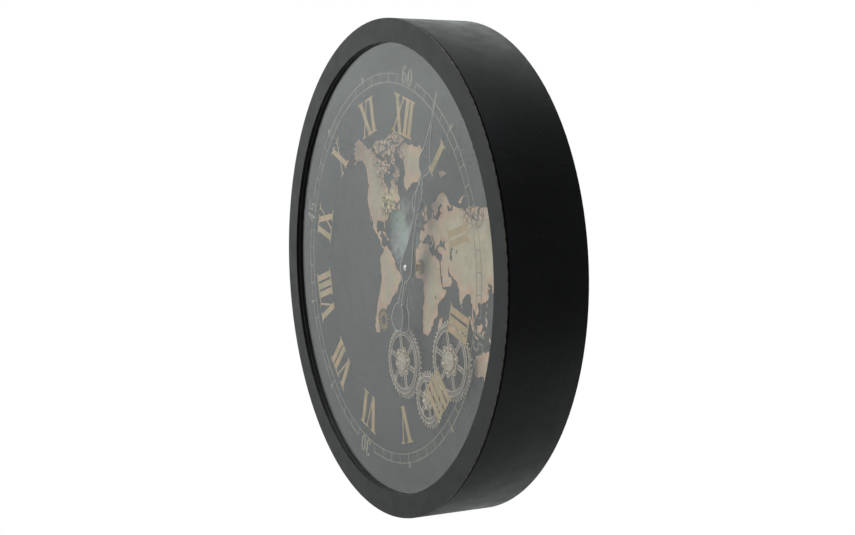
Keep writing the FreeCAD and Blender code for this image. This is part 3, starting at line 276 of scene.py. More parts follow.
# Pressed copper foil: olive grey inland and copper pink along the shores, by the mesh's own distance
# to the shore, brushed up and down, gilded in one place, stained, and crackled in the far north
def landLook():
    s = Nodes(bpy.data.materials.new("pressed_copper_foil"))
    inland = s.add("Attribute", out="Fac", attribute_name="inland")
    wander = landFacts["shoreWander"]
    wave = s.patches(landFacts["wave"], 0.3, 0.7, -wander, wander, detail=5, rough=0.6)
    distance = s.add("Math", {0: inland, 1: wave}, operation="ADD")
    share = s.add("MapRange", {"Value": distance, "From Min": 0, "From Max": landFacts["shoreWidth"]})
    olive, pink = ([linear(code) for code in landFacts[part]] for part in ("inland", "shore"))
    clouds = s.patches(landFacts["cloud"], 0.35, 0.65, detail=6, rough=0.6)
    ground = s.add("Mix", {0: clouds, 6: olive[0], 7: olive[1]}, 2, data_type="RGBA")
    blush = s.patches(landFacts["blush"], 0.35, 0.65, detail=5)
    rose = s.add("Mix", {0: blush, 6: pink[0], 7: pink[1]}, 2, data_type="RGBA")
    color = s.add("Mix", {0: share, 6: rose, 7: ground}, 2, data_type="RGBA")

    upright = s.add("Mapping", {"Vector": s.point, "Scale": (1, 1, 0.25)})
    strokes = s.add("TexNoise", {
        "Vector": upright, "Scale": 1 / landFacts["stroke"], "Detail": 5, "Roughness": 0.7,
    })
    flecks = s.patches(landFacts["fleck"], 0.35, 0.5, detail=5)

    # Crackle: thin lines where two cells of a bent pattern meet, near three places only
    swirl = s.add("TexNoise", {"Vector": s.point, "Scale": 1 / landFacts["swirl"], "Detail": 3}, "Color")
    bent = s.add("Mix", {0: landFacts["bend"], 4: s.point, 5: swirl}, 1, data_type="VECTOR")
    cells = s.add("TexVoronoi", {"Vector": bent, "Scale": 1 / landFacts["cell"]}, feature="DISTANCE_TO_EDGE")
    lines = s.add("MapRange", {"Value": cells, "From Min": 0.07, "From Max": 0.15, "To Min": 1, "To Max": 0})
    fringe = near(s, **spotFacts["northWest"])
    for spot in ("goldCrackle", "northEast"):
        fringe = s.add("Math", {0: fringe, 1: near(s, **spotFacts[spot])}, operation="MAXIMUM")

    layers = {
        "brushed": s.add("MapRange", {"Value": strokes, "From Min": 0.45, "From Max": 0.7, "To Max": 0.35}),
        "gold": s.add("Math", {0: near(s, **spotFacts["goldLand"]), 1: flecks}, operation="MULTIPLY"),
        "stain": s.patches(landFacts["spot"], 0.62, 0.74, 0, 0.5, detail=6, rough=0.7),
        "crackle": s.add("Math", {0: lines, 1: fringe}, operation="MULTIPLY"),
    }
    for part, share in layers.items():
        color = s.add("Mix", {0: share, 6: color, 7: linear(landFacts[part])}, 2, data_type="RGBA")
    relief = s.add("TexNoise", {
        "Vector": s.point, "Scale": 1 / landFacts["lump"], "Detail": 6, "Roughness": 0.7, "Distortion": 0.8,
    })
    gleam = s.add("MapRange", {
        "Value": relief, "From Min": 0.3, "From Max": 0.7, "To Min": 0.38, "To Max": 0.55,
    })
    return s.done(s.add("BsdfPrincipled", {
        "Base Color": color, "Roughness": gleam, "Metallic": landFacts["metal"],
        "Normal": s.add("Bump", {"Height": relief, "Distance": landFacts["relief"]}),
    }))


looks["dial_dark"] = dialLook()
looks["map_copper"] = landLook()
# painted shadow at the edge of the foil: a thin dark brown line on the dial round each coast, and the same
# colour on the foil's side walls
shoreShade = wornPaint("painted_brown_shadow", "#2b1c15", "#3a2a20", 0.6)

slotOf = {entry["node"]: entry["material_slot"] for entry in frame["record"]["subparts"]}
for name, node in frame["nodes"].items():
    node.data.materials.clear()
    node.data.materials.append(looks[slotOf[name]])
# Thin ink of the minute track: fainter and greyer than the figures
trackPrint = agedMetal("thin_gold_ink", "#93866f", "#6c6352", 0.6, metal=0.0, patch=20 * mm)
for name in ("minute_track", "minute_numbers"):
    frame["nodes"][name].data.materials[0] = trackPrint
print("materials set on", len(frame["nodes"]), "nodes")

weldReach = 0.002 * mm  # the nodes are loose triangles, whose corners are merged first

# Worn edges with painted highlights: bare aluminium and rubbed brass, pale and bright, stand for the light
# caught along the edges of the hands and gears, and enamel rubbed through to a dull brown is wear, lightened in
# patches as a highlight
bareEdgeHighlight = agedMetal("bare_aluminium_edge_highlight", "#f4ecdf", "#c9bfb0", 0.3, patch=8 * mm, metal=0.3)
brassEdgeHighlight = agedMetal("rubbed_brass_edge_highlight", "#ffeed8", "#dcc3a8", 0.35, patch=5 * mm, metal=0.15)
rubbedEdgeHighlight = agedMetal("rubbed_enamel_edge_highlight", "#b0957a", "#332b27", 0.4, patch=50 * mm, metal=0.2)
# Widths of the softened edges in mm, and the look of the strip where it is worn, painted bright as the highlight
# along the edge
bevelFacts = {
    "front_bezel": (0.9, rubbedEdgeHighlight), "drum_case": (0.3, None), "minute_hand": (0.48, bareEdgeHighlight),
    "hour_hand": (0.48, bareEdgeHighlight), "large_gear": (0.3, brassEdgeHighlight), "small_gear": (0.3, brassEdgeHighlight),
    "left_gear": (0.3, brassEdgeHighlight), "large_gear_rosette": (0.25, brassEdgeHighlight),
    "left_gear_rosette": (0.25, brassEdgeHighlight), "small_gear_rosette": (0.2, brassEdgeHighlight),
    "battery_lid": (0.4, None), "movement_cover": (0.4, None), "setting_knob": (0.3, None),
    "hanger_plate": (0.3, None), "switch_slider": (0.3, None),
}


# Softened edges on a node, wherever two faces meet at more than 40 degrees
def addBevel(name, width, edge):
    node = frame["nodes"][name]
    node.modifiers.new("weld", "WELD").merge_threshold = weldReach
    bevel = node.modifiers.new("edge", "BEVEL")
    bevel.width, bevel.segments = width, 2
    bevel.limit_method, bevel.angle_limit = "ANGLE", math.radians(40)
    if edge:
        node.data.materials.append(edge)
        bevel.material = len(node.data.materials) - 1


for name, (width, edge) in bevelFacts.items():
    addBevel(name, width * mm, edge)
print("edges softened on", len(bevelFacts), "nodes")


# Mesh from arrays of vertices and faces
def meshOf(name, vertices, faces):
    mesh = bpy.data.meshes.new(name)
    mesh.from_pydata(np.asarray(vertices).tolist(), [], np.asarray(faces).tolist())
    return mesh


# Object of a mesh, at the origin, with its material
def linked(name, mesh, material):
    mesh.materials.append(material)
    thing = bpy.data.objects.new(name, mesh)
    bpy.context.scene.collection.objects.link(thing)
    return thing


gearFacts = {
    "large_gear": {
        "body": "large_gear_group", "hub": (115.7 * mm, -76.7 * mm), "rivets": 15.5 * mm, "cap": 10.5 * mm,
    },
    "small_gear": {
        "body": "small_gear_group", "hub": (75 * mm, -144.4 * mm), "rivets": 9.9 * mm, "cap": 6.6 * mm,
    },
    "left_gear": {
        "body": "left_gear_group", "hub": (0.35 * mm, -125.5 * mm), "rivets": 14.6 * mm, "cap": 9.9 * mm,
    },
}
lineFacts = {
    "minute_hand": {
        "body": "minute", "hub": (0, 0), "depths": (36 * mm,), "thickness": 0.36 * mm, "low": 4.5 * mm,
    },
    "hour_hand": {
        "body": "hour", "hub": (0, 0), "depths": (41 * mm,), "thickness": 0.32 * mm, "low": 5 * mm,
    },
}
for gear, facts in gearFacts.items():
    place = {"body": facts["body"], "hub": facts["hub"]}
    lineFacts[gear] = {
        **place, "depths": (46.5 * mm, 47.5 * mm, 49 * mm), "thickness": 0.3 * mm, "low": facts["cap"],
    }
    lineFacts[gear + "_rosette"] = {
        **place, "depths": (46.3 * mm, 45.6 * mm), "thickness": 0.26 * mm, "low": 3 * mm,
    }
edgeFacts = {"level": 0.02 * mm, "sharp": 0.6}  # how flat an edge lies, and its least angle in radians


# Thin rounded lines: a small circle carried along each sharp edge of a node that lies in one of
# the planes, further from the hub than low; they take the pale edge colour, a painted highlight
def edgeLines(name, body, depths, thickness, material, hub, low):
    node = frame["nodes"][name]
    drawn = bmesh.new()
    drawn.from_mesh(node.data)
    drawn.transform(node.matrix_world)
    bmesh.ops.remove_doubles(drawn, verts=drawn.verts, dist=weldReach)
    kept = []
    for edge in drawn.edges:
        ends = [vert.co.copy() for vert in edge.verts]
        level = any(all(abs(end.y - front - depth) < edgeFacts["level"] for end in ends) for depth in depths)
        outside = all(math.hypot(end.x - hub[0], end.z - hub[1]) > low for end in ends)
        if level and outside and len(edge.link_faces) == 2 and edge.calc_face_angle() > edgeFacts["sharp"]:
            kept.append(ends)
    drawn.free()
    curve = bpy.data.curves.new(name + "_lines", "CURVE")
    curve.dimensions = "3D"
    curve.bevel_depth, curve.bevel_resolution = thickness, 1
    for ends in kept:
        spline = curve.splines.new("POLY")
        spline.points.add(1)
        for target, end in zip(spline.points, ends):
            target.co = (*end, 1)
    holder = bpy.data.objects.new("draft", curve)
    mesh = bpy.data.meshes.new_from_object(holder)
    mesh.name = name + "_lines"
    bpy.data.objects.remove(holder)
    bpy.data.curves.remove(curve)
    lines = linked(name + "_lines", mesh, material)
    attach(lines, body)
    return len(kept)


for name, facts in lineFacts.items():
    edge = bareEdgeHighlight if name.endswith("hand") else brassEdgeHighlight
    print(name, "lines on", edgeLines(name, material=edge, **facts), "edges")

# Rivet heads on the rosettes, and beads round the caps, whose radius is a share of the cap's; both in the bright
# brass of the edges, a painted highlight
beadFacts = {
    "rivetCount": 6, "rivetRadius": 1.4 * mm, "rivetDepth": 45.9 * mm,
    "toothCount": 30, "toothShare": 0.85 / 10.5, "toothDepth": 45.4 * mm,
}


# Points at even steps round a hub: x and z are the sine and cosine of the turn, times the radius
def circlePoints(hub, radius, depth, count):
    turns = np.arange(count) * 2 * math.pi / count
    depths = np.full(count, front + depth)
    return np.column_stack((hub[0] + radius * np.sin(turns), depths, hub[1] + radius * np.cos(turns)))


# Round beads as one mesh: the points of a small sphere, added to each centre, in the painted highlight colour of
# the brass edges
def beads(name, body, centres, radius):
    ball = bmesh.new()
    bmesh.ops.create_icosphere(ball, subdivisions=2, radius=radius)
    ball.verts.index_update()
    points = np.array([vert.co for vert in ball.verts])
    faces = np.array([[vert.index for vert in face.verts] for face in ball.faces])
    ball.free()
    shifts = np.arange(len(centres))[:, None, None] * len(points)
    mesh = meshOf(name, (centres[:, None] + points).reshape(-1, 3), (faces + shifts).reshape(-1, 3))
    mesh.shade_smooth()
    piece = linked(name, mesh, brassEdgeHighlight)
    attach(piece, body)


for gear, facts in gearFacts.items():
    heads = circlePoints(facts["hub"], facts["rivets"], beadFacts["rivetDepth"], beadFacts["rivetCount"])
    beads(gear + "_rivet_heads", facts["body"], heads, beadFacts["rivetRadius"])
    teeth = circlePoints(facts["hub"], facts["cap"], beadFacts["toothDepth"], beadFacts["toothCount"])
    beads(gear + "_cap_beads", facts["body"], teeth, beadFacts["toothShare"] * facts["cap"])
print("beads set on", len(gearFacts), "gears")

# Thin rings of the front: the grey rubber lip of the gasket, a soft dark line beside the glass whose grey is a
# painted highlight of the glass edge, and the bezel's outer edge, where the paint is rubbed off in a pale broken
# line, painted brighter as a highlight
ringFacts = {
    "gasket_bead": {
        "radius": 271.6 * mm, "depth": 4.8 * mm, "thickness": 0.22 * mm, "slot": "black_rubber",
        "material": moulded("grey_rubber_lip_highlight", "#4c4c4a", 0.35),
    },
    "bezel_rubbed_edge": {
        "radius": 299.57 * mm, "depth": 0.43 * mm, "thickness": 0.42 * mm, "slot": "black_paint",
        "material": agedMetal("bare_steel_highlight_line", "#f0d8b8", "#5a4c40", 0.4, patch=50 * mm, metal=0.0),
    },
}


# Ring of a round profile: from the axis, radius + thickness * cosine of the one angle, carried round by
# the other; the same angle's sine, times the thickness, is added to the depth
def ringPiece(name, radius, depth, thickness, slot, material, steps=240, sides=6):
    turns, bends = np.meshgrid(
        np.arange(steps) * 2 * math.pi / steps, np.arange(sides) * 2 * math.pi / sides, indexing="ij"
    )
    away, behind = radius + thickness * np.cos(bends), front + depth + thickness * np.sin(bends)
    grid = np.stack((away * np.sin(turns), behind, away * np.cos(turns)), axis=2)
    here = np.arange(steps * sides).reshape(steps, sides)
    after, aside = np.roll(here, -1, axis=0), np.roll(here, -1, axis=1)
    faces = np.stack((here, after, np.roll(after, -1, axis=1), aside), axis=2)
    mesh = meshOf(name, grid.reshape(-1, 3), faces.reshape(-1, 4))
    mesh.shade_smooth()
    line = linked(name, mesh, material)
    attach(line, "case")


for name, facts in ringFacts.items():
    ringPiece(name, **facts)
print("rings laid:", *ringFacts)

# The figures stand off the lens by a hair, so that its rear face and theirs are drawn apart
for name in ("hour_numerals", "minute_track", "minute_numbers"):
    lift = frame["nodes"][name].modifiers.new("lift", "DISPLACE")
    lift.direction, lift.mid_level, lift.strength = "Y", 0, 0.06 * mm

# World map: coasts as longitude and latitude in degrees, refined by midpoints that step a little aside
mapFacts = {
    "degree": 1.367 * mm, "equator": 22 * mm, "relief": 0.5 * mm, "edge": 262 * mm, "hub": 11 * mm,
    "cog": (-84 * mm, -102 * mm), "cogRoom": 15.3 * mm, "grid": 5 * mm, "wander": 0.09, "levels": 2,
    "seed": 7, "shadow": 1.1 * mm, "shadowRise": 0.06 * mm, "lakeRise": 0.02 * mm,
}
# The printed map is drawn lower than a true conformal one in the far north, and longer in the far south:
# true latitudes above, drawn ones below
latitudeStretch = (
    (-60, -55, -35, -20, 0, 58, 61, 66.5, 71, 75.5, 78, 84),
    (-65, -59.5, -38, -21, 0, 58, 60.3, 63.7, 67.6, 70.3, 71.9, 76.8),
)
coasts = {
    "north_america": (
        (-168, 65.6), (-164, 66.5), (-162, 66.2), (-166, 68.3), (-163, 69.6), (-156.5, 72), (-150, 71),
        (-141, 70.3), (-135, 69.6), (-128, 70.8), (-124, 69.8), (-115, 69), (-109, 68.4), (-102, 68.2),
        (-97, 69), (-94.5, 72), (-92, 70), (-88, 68.5), (-85, 69.5), (-81.5, 69), (-82, 67), (-86.5, 66.5),
        (-87, 64.5), (-93, 62.5), (-94.8, 60), (-94.5, 58.7), (-92.5, 57), (-88, 56.5), (-82.3, 55.1),
        (-82, 52.9), (-80, 51.2), (-79, 51.8), (-79.5, 54.5), (-76.7, 57), (-78.5, 58.8), (-77.5, 60.5),
        (-77.8, 62.5), (-73, 62.3), (-69.7, 61), (-69.5, 59), (-66, 58.8), (-64.5, 60.3), (-62, 57.5),
        (-60, 55.2), (-57.3, 54.5), (-55.8, 52.5), (-60, 50.2), (-66.5, 50.2), (-69, 48.5), (-65, 49.2),
        (-64.5, 47.5), (-65, 46.5), (-61.5, 45.8), (-60.5, 46.8), (-60, 46), (-65.5, 43.6), (-66, 45),
        (-69, 44), (-70.7, 43), (-70, 41.7), (-74, 40.6), (-74.2, 39.4), (-75.5, 38), (-76, 36.9),
        (-75.6, 35.2), (-78, 33.9), (-81, 32), (-81.4, 30.5), (-80, 27), (-80.4, 25.2), (-81.8, 26),
        (-82.7, 28), (-84, 30), (-86, 30.3), (-89.5, 30.2), (-89.5, 29.2), (-93, 29.6), (-96.5, 28.3),
        (-97.4, 26), (-97.8, 22.5), (-96.3, 19.3), (-94.5, 18.2), (-91.5, 18.6), (-90.4, 21), (-87, 21.5),
        (-87.7, 18.5), (-88.8, 15.9), (-84, 15.8), (-83.3, 13), (-83.7, 11), (-82, 9.2), (-79.5, 9.5),
        (-77.4, 8.5), (-78.2, 7.5), (-80.3, 8.2), (-80.3, 7.3), (-83, 8.3), (-85.6, 10), (-87.5, 12.8),
        (-91.5, 13.9), (-94.5, 16.2), (-99, 16.7), (-103.5, 18.3), (-105.6, 20.3), (-105.5, 22.5),
        (-108.5, 25.2), (-112.3, 29), (-114.7, 31.7), (-112.8, 28.5), (-110.5, 24.5), (-109.5, 23),
        (-112, 25), (-114.2, 27.8), (-115.8, 30.3), (-117.2, 33), (-120.6, 34.6), (-122.4, 37.5),
        (-124.3, 40.3), (-124.1, 43.5), (-124.5, 48.3), (-122.8, 49), (-127.5, 51), (-130, 54.5),
        (-133.5, 57.5), (-137.5, 58.9), (-141.5, 60), (-146, 60.8), (-148.5, 60), (-151.5, 59.3), (-151, 61),
        (-154, 59), (-158, 56.5), (-163.5, 55), (-161, 56), (-157.5, 58.7), (-162, 58.7), (-162, 60),
        (-165.5, 61.5), (-164.5, 63.2), (-161, 64.3), (-166, 64.5),
    ),
    "arctic_islands": (
        (-125, 71.8), (-124.5, 74), (-121, 75.5), (-116, 76.8), (-110, 78), (-103, 79), (-96, 80.5),
        (-92, 82), (-82, 83.3), (-70, 83.3), (-62, 82.5), (-66, 80.6), (-72, 79.2), (-77, 78.2), (-79, 76.3),
        (-78, 74.4), (-72, 72.3), (-68, 70.5), (-63, 68), (-61.5, 66.5), (-64.5, 65.8), (-64.8, 63.5),
        (-66, 61.9), (-72, 62.8), (-75, 64.3), (-78, 64.7), (-73, 66), (-72, 68), (-78, 70), (-84, 70.2),
        (-88, 71.2), (-90, 73), (-93, 73), (-97, 71.6), (-101.5, 69.9), (-105, 70.4), (-109, 70.1),
        (-113, 69.9), (-118, 70.3), (-119.5, 71.4),
    ),
    "newfoundland": ((-59.3, 47.8), (-55.7, 51.5), (-53, 47), (-55.8, 46.9)),
    "southampton": ((-81, 63.5), (-85.5, 65.8), (-87, 63.7)),
    "greenland": (
        (-73, 78.2), (-68, 76), (-58.5, 75.3), (-54.5, 71), (-51.5, 69.5), (-53.5, 66.5), (-51.5, 64),
        (-48.5, 61), (-43.5, 60), (-41.5, 63), (-38, 65.8), (-32, 68), (-24, 70.3), (-22, 72.5), (-20, 75),
        (-18.5, 79), (-14, 81.3), (-30, 83.5), (-45, 82.5), (-60, 81.8), (-66, 80),
    ),
    "iceland": ((-22.7, 64), (-24.3, 65.6), (-22, 66.4), (-16, 66.5), (-13.6, 65), (-18.8, 63.4)),
    "cuba": ((-84.8, 21.9), (-80, 23.1), (-75, 20.7), (-74.2, 20.2), (-77.5, 19.9), (-78, 20.8)),
    "hispaniola": ((-74.3, 18.4), (-72.8, 19.9), (-68.5, 18.6), (-71.5, 17.8)),
    "south_america": (
        (-77.4, 8.7), (-75.5, 10.7), (-71.7, 12.4), (-70.2, 11.6), (-64.5, 10.1), (-61, 9.9), (-60, 8.4),
        (-57, 6), (-51.5, 4.3), (-50, 1), (-48, -0.8), (-44.3, -2.6), (-40, -2.9), (-37, -4.8), (-35, -6.5),
        (-35.1, -9), (-37.5, -12), (-39, -13.5), (-39.2, -17.8), (-41, -22), (-44.5, -23.2), (-48.5, -26),
        (-48.8, -28.5), (-52, -32.5), (-54.5, -34.8), (-57.5, -35.5), (-57, -37), (-58.5, -39),
        (-61.5, -40.5), (-62, -43), (-64.5, -45), (-65.5, -48), (-67.5, -51), (-67, -54.8), (-74, -55.5),
        (-78.5, -52.8), (-79, -49), (-78, -46.5), (-77.5, -42), (-77.5, -37), (-76, -32), (-75.5, -25),
        (-75.5, -18.5), (-79, -14), (-81.5, -7.5), (-83, -4.5), (-82, -2.5), (-82, 0), (-79.5, 1.8),
        (-77.8, 4), (-77.5, 7),
    ),
    "africa": (
        (-5.9, 35.8), (-2, 35.1), (3, 36.8), (10, 37.3), (11, 36.8), (10.2, 34.3), (15, 32.3), (19.8, 30.5),
        (20, 32.6), (23.5, 32.6), (29, 30.9), (32.5, 31.2), (34, 27.5), (35.5, 24), (37.2, 20.5), (39, 15.8),
        (43, 12.2), (43.3, 11.3), (47, 11.2), (51.2, 11.9), (50.8, 9.2), (48, 4.5), (44.5, 1.5), (41.5, -1.7),
        (39.3, -4.7), (39.5, -8.5), (40.7, -12), (40.5, -15.3), (36.5, -18.3), (34.8, -20), (35.5, -23.5),
        (32.8, -26), (32.3, -28.7), (30, -31.3), (26.5, -33.9), (22, -34.1), (19.8, -34.8), (18.2, -33.5),
        (17.2, -29.5), (15, -26.5), (14.4, -22.5), (11.8, -17.8), (13.5, -12.5), (13.2, -8.8), (11.8, -4.8),
        (8.8, -0.8), (9.7, 3.5), (7, 4.4), (4.5, 6.3), (-2, 4.8), (-7.6, 4.4), (-11, 6.5), (-13.3, 8.8),
        (-15, 11), (-16.8, 13.3), (-17.5, 14.7), (-16.4, 18), (-17, 21), (-14.8, 25.5), (-12.8, 27.9),
        (-9.8, 29.8), (-9.3, 32.5), (-6.5, 34.5),
    ),
    "madagascar": (
        (44.3, -16.5), (47.5, -14.7), (49.5, -12.2), (50.4, -15.6), (47.8, -23.5), (45.5, -25.4),
        (43.5, -22.5),
    ),
    "eurasia": (
        (-8.9, 37), (-9.4, 38.7), (-8.8, 43), (-2, 43.5), (-1.2, 45.5), (-4.7, 48), (-1.6, 48.7), (1.5, 50.3),
        (4.5, 52.3), (8.3, 53.8), (8.2, 57), (10.5, 57.6), (10.5, 55.3), (12.3, 54.4), (18.5, 54.7),
        (21.2, 55.5), (21.5, 57.5), (24.3, 57.3), (23.5, 59.2), (29.5, 59.9), (22.9, 60), (21.4, 61.5),
        (25.3, 65), (22.5, 65.8), (17.3, 61.8), (18.8, 60), (16.5, 57.5), (14.3, 55.5), (12.8, 55.6),
        (11.2, 59), (8, 58.1), (5.2, 60), (5.2, 62), (10.5, 64.2), (14, 67.5), (19, 69.8), (25.7, 71),
        (31, 70.3), (41, 67.5), (40.5, 66.3), (33, 66.6), (36, 64), (40, 65), (44, 66.2), (43.5, 68.5),
        (54, 68.5), (60.5, 69.7), (67, 68.5), (67, 71.5), (69, 73), (72.5, 72.8), (73.5, 68.5), (76, 72),
        (80.5, 73.5), (87, 75), (98, 76.3), (104, 77.7), (113.5, 75.5), (113, 73.8), (124, 73.5), (129, 71.5),
        (139.5, 72.4), (150, 71.5), (160.5, 70), (170, 70), (178, 69.3), (178, 65), (177, 62.4), (170.5, 60),
        (164, 60), (162.8, 58), (162, 55), (157, 51), (156, 57), (162, 61), (159, 61.3), (155, 59.3),
        (143, 59.3), (135.3, 54.7), (141.2, 53), (140.3, 48.5), (135.5, 44.3), (131.5, 43), (127.7, 40),
        (129.4, 36.5), (126.5, 34.5), (126, 37.5), (124.7, 39.7), (121.5, 39), (118, 39), (119.5, 37),
        (122.5, 37.3), (119.5, 34.8), (121.8, 31), (121.5, 28.3), (118, 24.5), (114, 22.5), (110.2, 20.5),
        (108, 21.6), (105.8, 19), (109, 13.5), (108.5, 11), (105, 8.7), (104.8, 10.4), (102.5, 12.2),
        (100.9, 13.4), (99.5, 10), (102, 6.2), (103.5, 1.3), (101.3, 2.8), (98.3, 8.2), (98.6, 12.5),
        (97.5, 16.5), (94.5, 16), (94, 19.5), (91.8, 22.3), (87, 21.5), (82.3, 16.6), (80.2, 13.5),
        (79.8, 10.3), (77.5, 8.1), (76, 11), (73, 17), (72.7, 21), (70.5, 20.8), (69, 22.3), (67, 24.8),
        (61.5, 25.1), (57.3, 26.5), (51.5, 27.9), (50, 30.1), (48, 30), (50.2, 26.5), (51.5, 24.5),
        (54.5, 24.2), (56.3, 26), (56.8, 24.2), (59.8, 22.5), (57.7, 19), (55, 17), (52, 15.5), (45, 12.8),
        (43.4, 12.8), (42.6, 16.5), (39, 21.3), (36.5, 26), (34.9, 29.5), (34.2, 31.3), (36, 35), (36, 36.8),
        (30.6, 36.8), (27.3, 37), (26.2, 39.3), (29, 41), (31.5, 41.3), (35, 42), (38.5, 41), (41.5, 41.6),
        (37.5, 44.7), (39, 47), (35, 46.3), (33.5, 44.5), (31, 46.5), (28.7, 44), (28, 41.5), (23.8, 40.3),
        (24, 37.8), (22.5, 36.5), (20.5, 38.5), (19.4, 41.8), (15.5, 43.8), (13.6, 45.5), (12.4, 44.5),
        (14, 42.5), (16, 41.7), (18.4, 40), (16.8, 40.3), (16, 38), (15.7, 40), (12.5, 41.5), (10.3, 43.5),
        (7.5, 43.8), (3.3, 43.1), (3, 41.8), (0, 39.5), (-0.5, 38), (-2.2, 36.8), (-5.6, 36.1),
    ),
    "novaya": ((52, 71), (55, 73.5), (60, 76), (68, 76.8), (66, 76), (58, 74), (57, 71)),
    "svalbard": ((11, 79), (17, 80), (27, 80), (20, 78.5), (16, 76.7)),
    "sakhalin": ((142, 46), (142, 54), (143.3, 51), (143, 49)),
    "great_britain": (
        (-5.5, 50), (-3, 50.6), (1.3, 51.2), (1.7, 52.7), (0, 53.5), (-1.6, 55.5), (-2, 57.5), (-3.2, 58.6),
        (-5, 58.5), (-6, 56.5), (-3.5, 54.8), (-4.5, 53.2), (-5, 51.8), (-3, 51.4),
    ),
    "ireland": ((-10, 52), (-9.8, 54.2), (-7, 55.3), (-5.7, 54.3), (-6.3, 52.2)),
    "sicily": ((12.5, 38), (15.5, 38.2), (15.1, 36.7)),
    "sardinia": ((8.3, 41), (9.6, 41), (9.5, 39.2), (8.5, 39)),
    "crete": ((23.6, 35.5), (26.2, 35.2), (24.8, 34.9)),
    "japan": (
        (130, 31.5), (130, 33.8), (133, 35.5), (136.8, 37.3), (139.5, 38.5), (140.3, 41.2), (142, 39.5),
        (140.8, 36), (139, 35), (135.8, 33.5),
    ),
    "hokkaido": ((140, 42.2), (141.8, 45.4), (145.3, 43.4), (143, 42)),
    "taiwan": ((120.2, 23), (121.5, 25.2), (121, 22)),
    "ceylon": ((79.8, 8), (80.2, 9.6), (81.8, 7.2), (80.5, 6)),
    "philippines": (
        (120.5, 18.5), (122, 18.3), (121.5, 14.5), (124, 12.8), (125.5, 9.5), (125.5, 6), (122, 7),
        (123, 9.5), (120.8, 13.5),
    ),
    "borneo": (
        (109, 1.5), (111.5, 2.5), (115.5, 5.5), (117, 7), (119, 5), (117.8, 1), (116, -3.8), (111.5, -3.3),
        (110, -1),
    ),
    "sumatra": ((95.4, 5.6), (99, 3.2), (103.5, 0), (106, -3), (105.5, -5.8), (102, -4), (98.8, 1.5)),
    "java": ((105.3, -6.8), (108.5, -6.7), (114.5, -7.8), (114, -8.6), (108, -7.8)),
    "celebes": (
        (119.5, -5.5), (119, -2.5), (120, 0.8), (125, 1.5), (120.8, 0.2), (123, -1), (121, -2), (122.5, -5),
        (120.8, -3),
    ),
    "new_guinea": (
        (131, -0.8), (134, -1), (135, -3.3), (141, -2.6), (147.5, -6), (150.5, -10.5), (146, -8.7),
        (142.5, -9.2), (138, -7.5), (133, -4),
    ),
    "australia": (
        (114, -22), (113.5, -26), (115.7, -31.8), (115, -34.3), (118, -35), (123.5, -33.9), (126, -32.3),
        (131, -31.5), (135.5, -34.8), (138.3, -35.5), (140.5, -38), (144, -38.5), (146.4, -39), (150, -37.4),
        (151.5, -33), (153.4, -28.5), (152.5, -24.8), (149, -20.5), (146, -19), (145.3, -15), (142.5, -10.8),
        (141.6, -13.5), (140.8, -17.5), (137, -15.9), (135.6, -12.2), (132.5, -11.4), (130, -13),
        (129.5, -15), (126, -14), (122.2, -17.2), (122, -18.2), (117, -20.7),
    ),
    "tasmania": ((144.7, -40.8), (148.3, -41), (147, -43.5), (146, -43.3)),
    "north_island": (
        (172.7, -34.5), (175, -36.8), (178.4, -37.7), (176.9, -39.5), (175.2, -41.6), (173.8, -39.3),
        (174.6, -37.5),
    ),
    "south_island": (
        (172.7, -40.6), (174.2, -41.7), (171, -44.5), (168.5, -46.6), (166.6, -45.9), (170, -43),
    ),
}
lakes = {
    "caspian": ((47, 44.5), (51, 46.8), (53, 45), (51, 43), (53, 40.5), (53.8, 37), (50, 37.3), (49, 40.5)),
    "superior": ((-92, 46.7), (-88, 48.7), (-84.6, 46.5), (-87.8, 46.9)),
    "michigan": ((-87.8, 42), (-86.3, 42.5), (-85.5, 45), (-87.5, 45)),
    "huron": ((-84, 46), (-80.5, 45.5), (-82, 43.2), (-83.5, 44)),
    "victoria_lake": ((32, 0.3), (34.2, 0), (33.3, -2.5), (31.8, -2.3)),
    "aral": ((58.5, 44), (59, 46), (61.5, 46.2), (60.5, 44)),
    "bear": ((-124, 66), (-119, 66.8), (-118, 65.6)),
    "slave": ((-116, 61.3), (-110, 62.7), (-112.5, 61.2)),
}


# Place of a longitude and latitude on the dial: along by the degree, up by the degree times the conformal
# northing, which is the logarithm of the tangent of 45 degrees and half the latitude
def mapPoint(longitude, latitude):
    drawn = np.interp(latitude, *latitudeStretch)
    northing = np.degrees(np.log(np.tan(np.radians(45 + drawn / 2))))
    degree = mapFacts["degree"]
    return np.column_stack((degree * longitude, degree * northing - mapFacts["equator"]))


# Coast: between every two points comes their midpoint, pushed aside by a random share of the run
def refinedCoast(coast, chance):
    points = mapPoint(*np.array(coast, dtype=float).T)
    for level in range(mapFacts["levels"]):
        after = np.roll(points, -1, axis=0)
        run = after - points
        share = chance.normal(0, mapFacts["wander"], (len(points), 1))
        aside = np.column_stack((-run[:, 1], run[:, 0])) * share
        points = np.stack((points, (points + after) / 2 + aside), axis=1).reshape(-1, 2)
    return keptOnDial(points)


# Points past the dial's edge are drawn in to it, and those too near the hub or the cog are pushed out
# along the line from its middle to the rim of its room
def keptOnDial(points):
    points = points * np.minimum(1, mapFacts["edge"] / np.hypot(*points.T))[:, None]
    for middle, room in (((0, 0), mapFacts["hub"]), (mapFacts["cog"], mapFacts["cogRoom"])):
        away = points - middle
        reach = np.hypot(*away.T)[:, None]
        points = np.where(reach < room, middle + away * (room / reach), points)
    return points


# For each point, whether it lies inside the outline: its level is crossed an odd number of times to its right
def insideOutline(outline, points):
    after = np.roll(outline, -1, axis=0)
    x, z = points[:, 0, None], points[:, 1, None]
    spans = (outline[:, 1] > z) != (after[:, 1] > z)
    rise = np.where(after[:, 1] == outline[:, 1], 1, after[:, 1] - outline[:, 1])
    crossing = outline[:, 0] + (z - outline[:, 1]) / rise * (after[:, 0] - outline[:, 0])
    return (spans & (x < crossing)).sum(axis=1) % 2 == 1


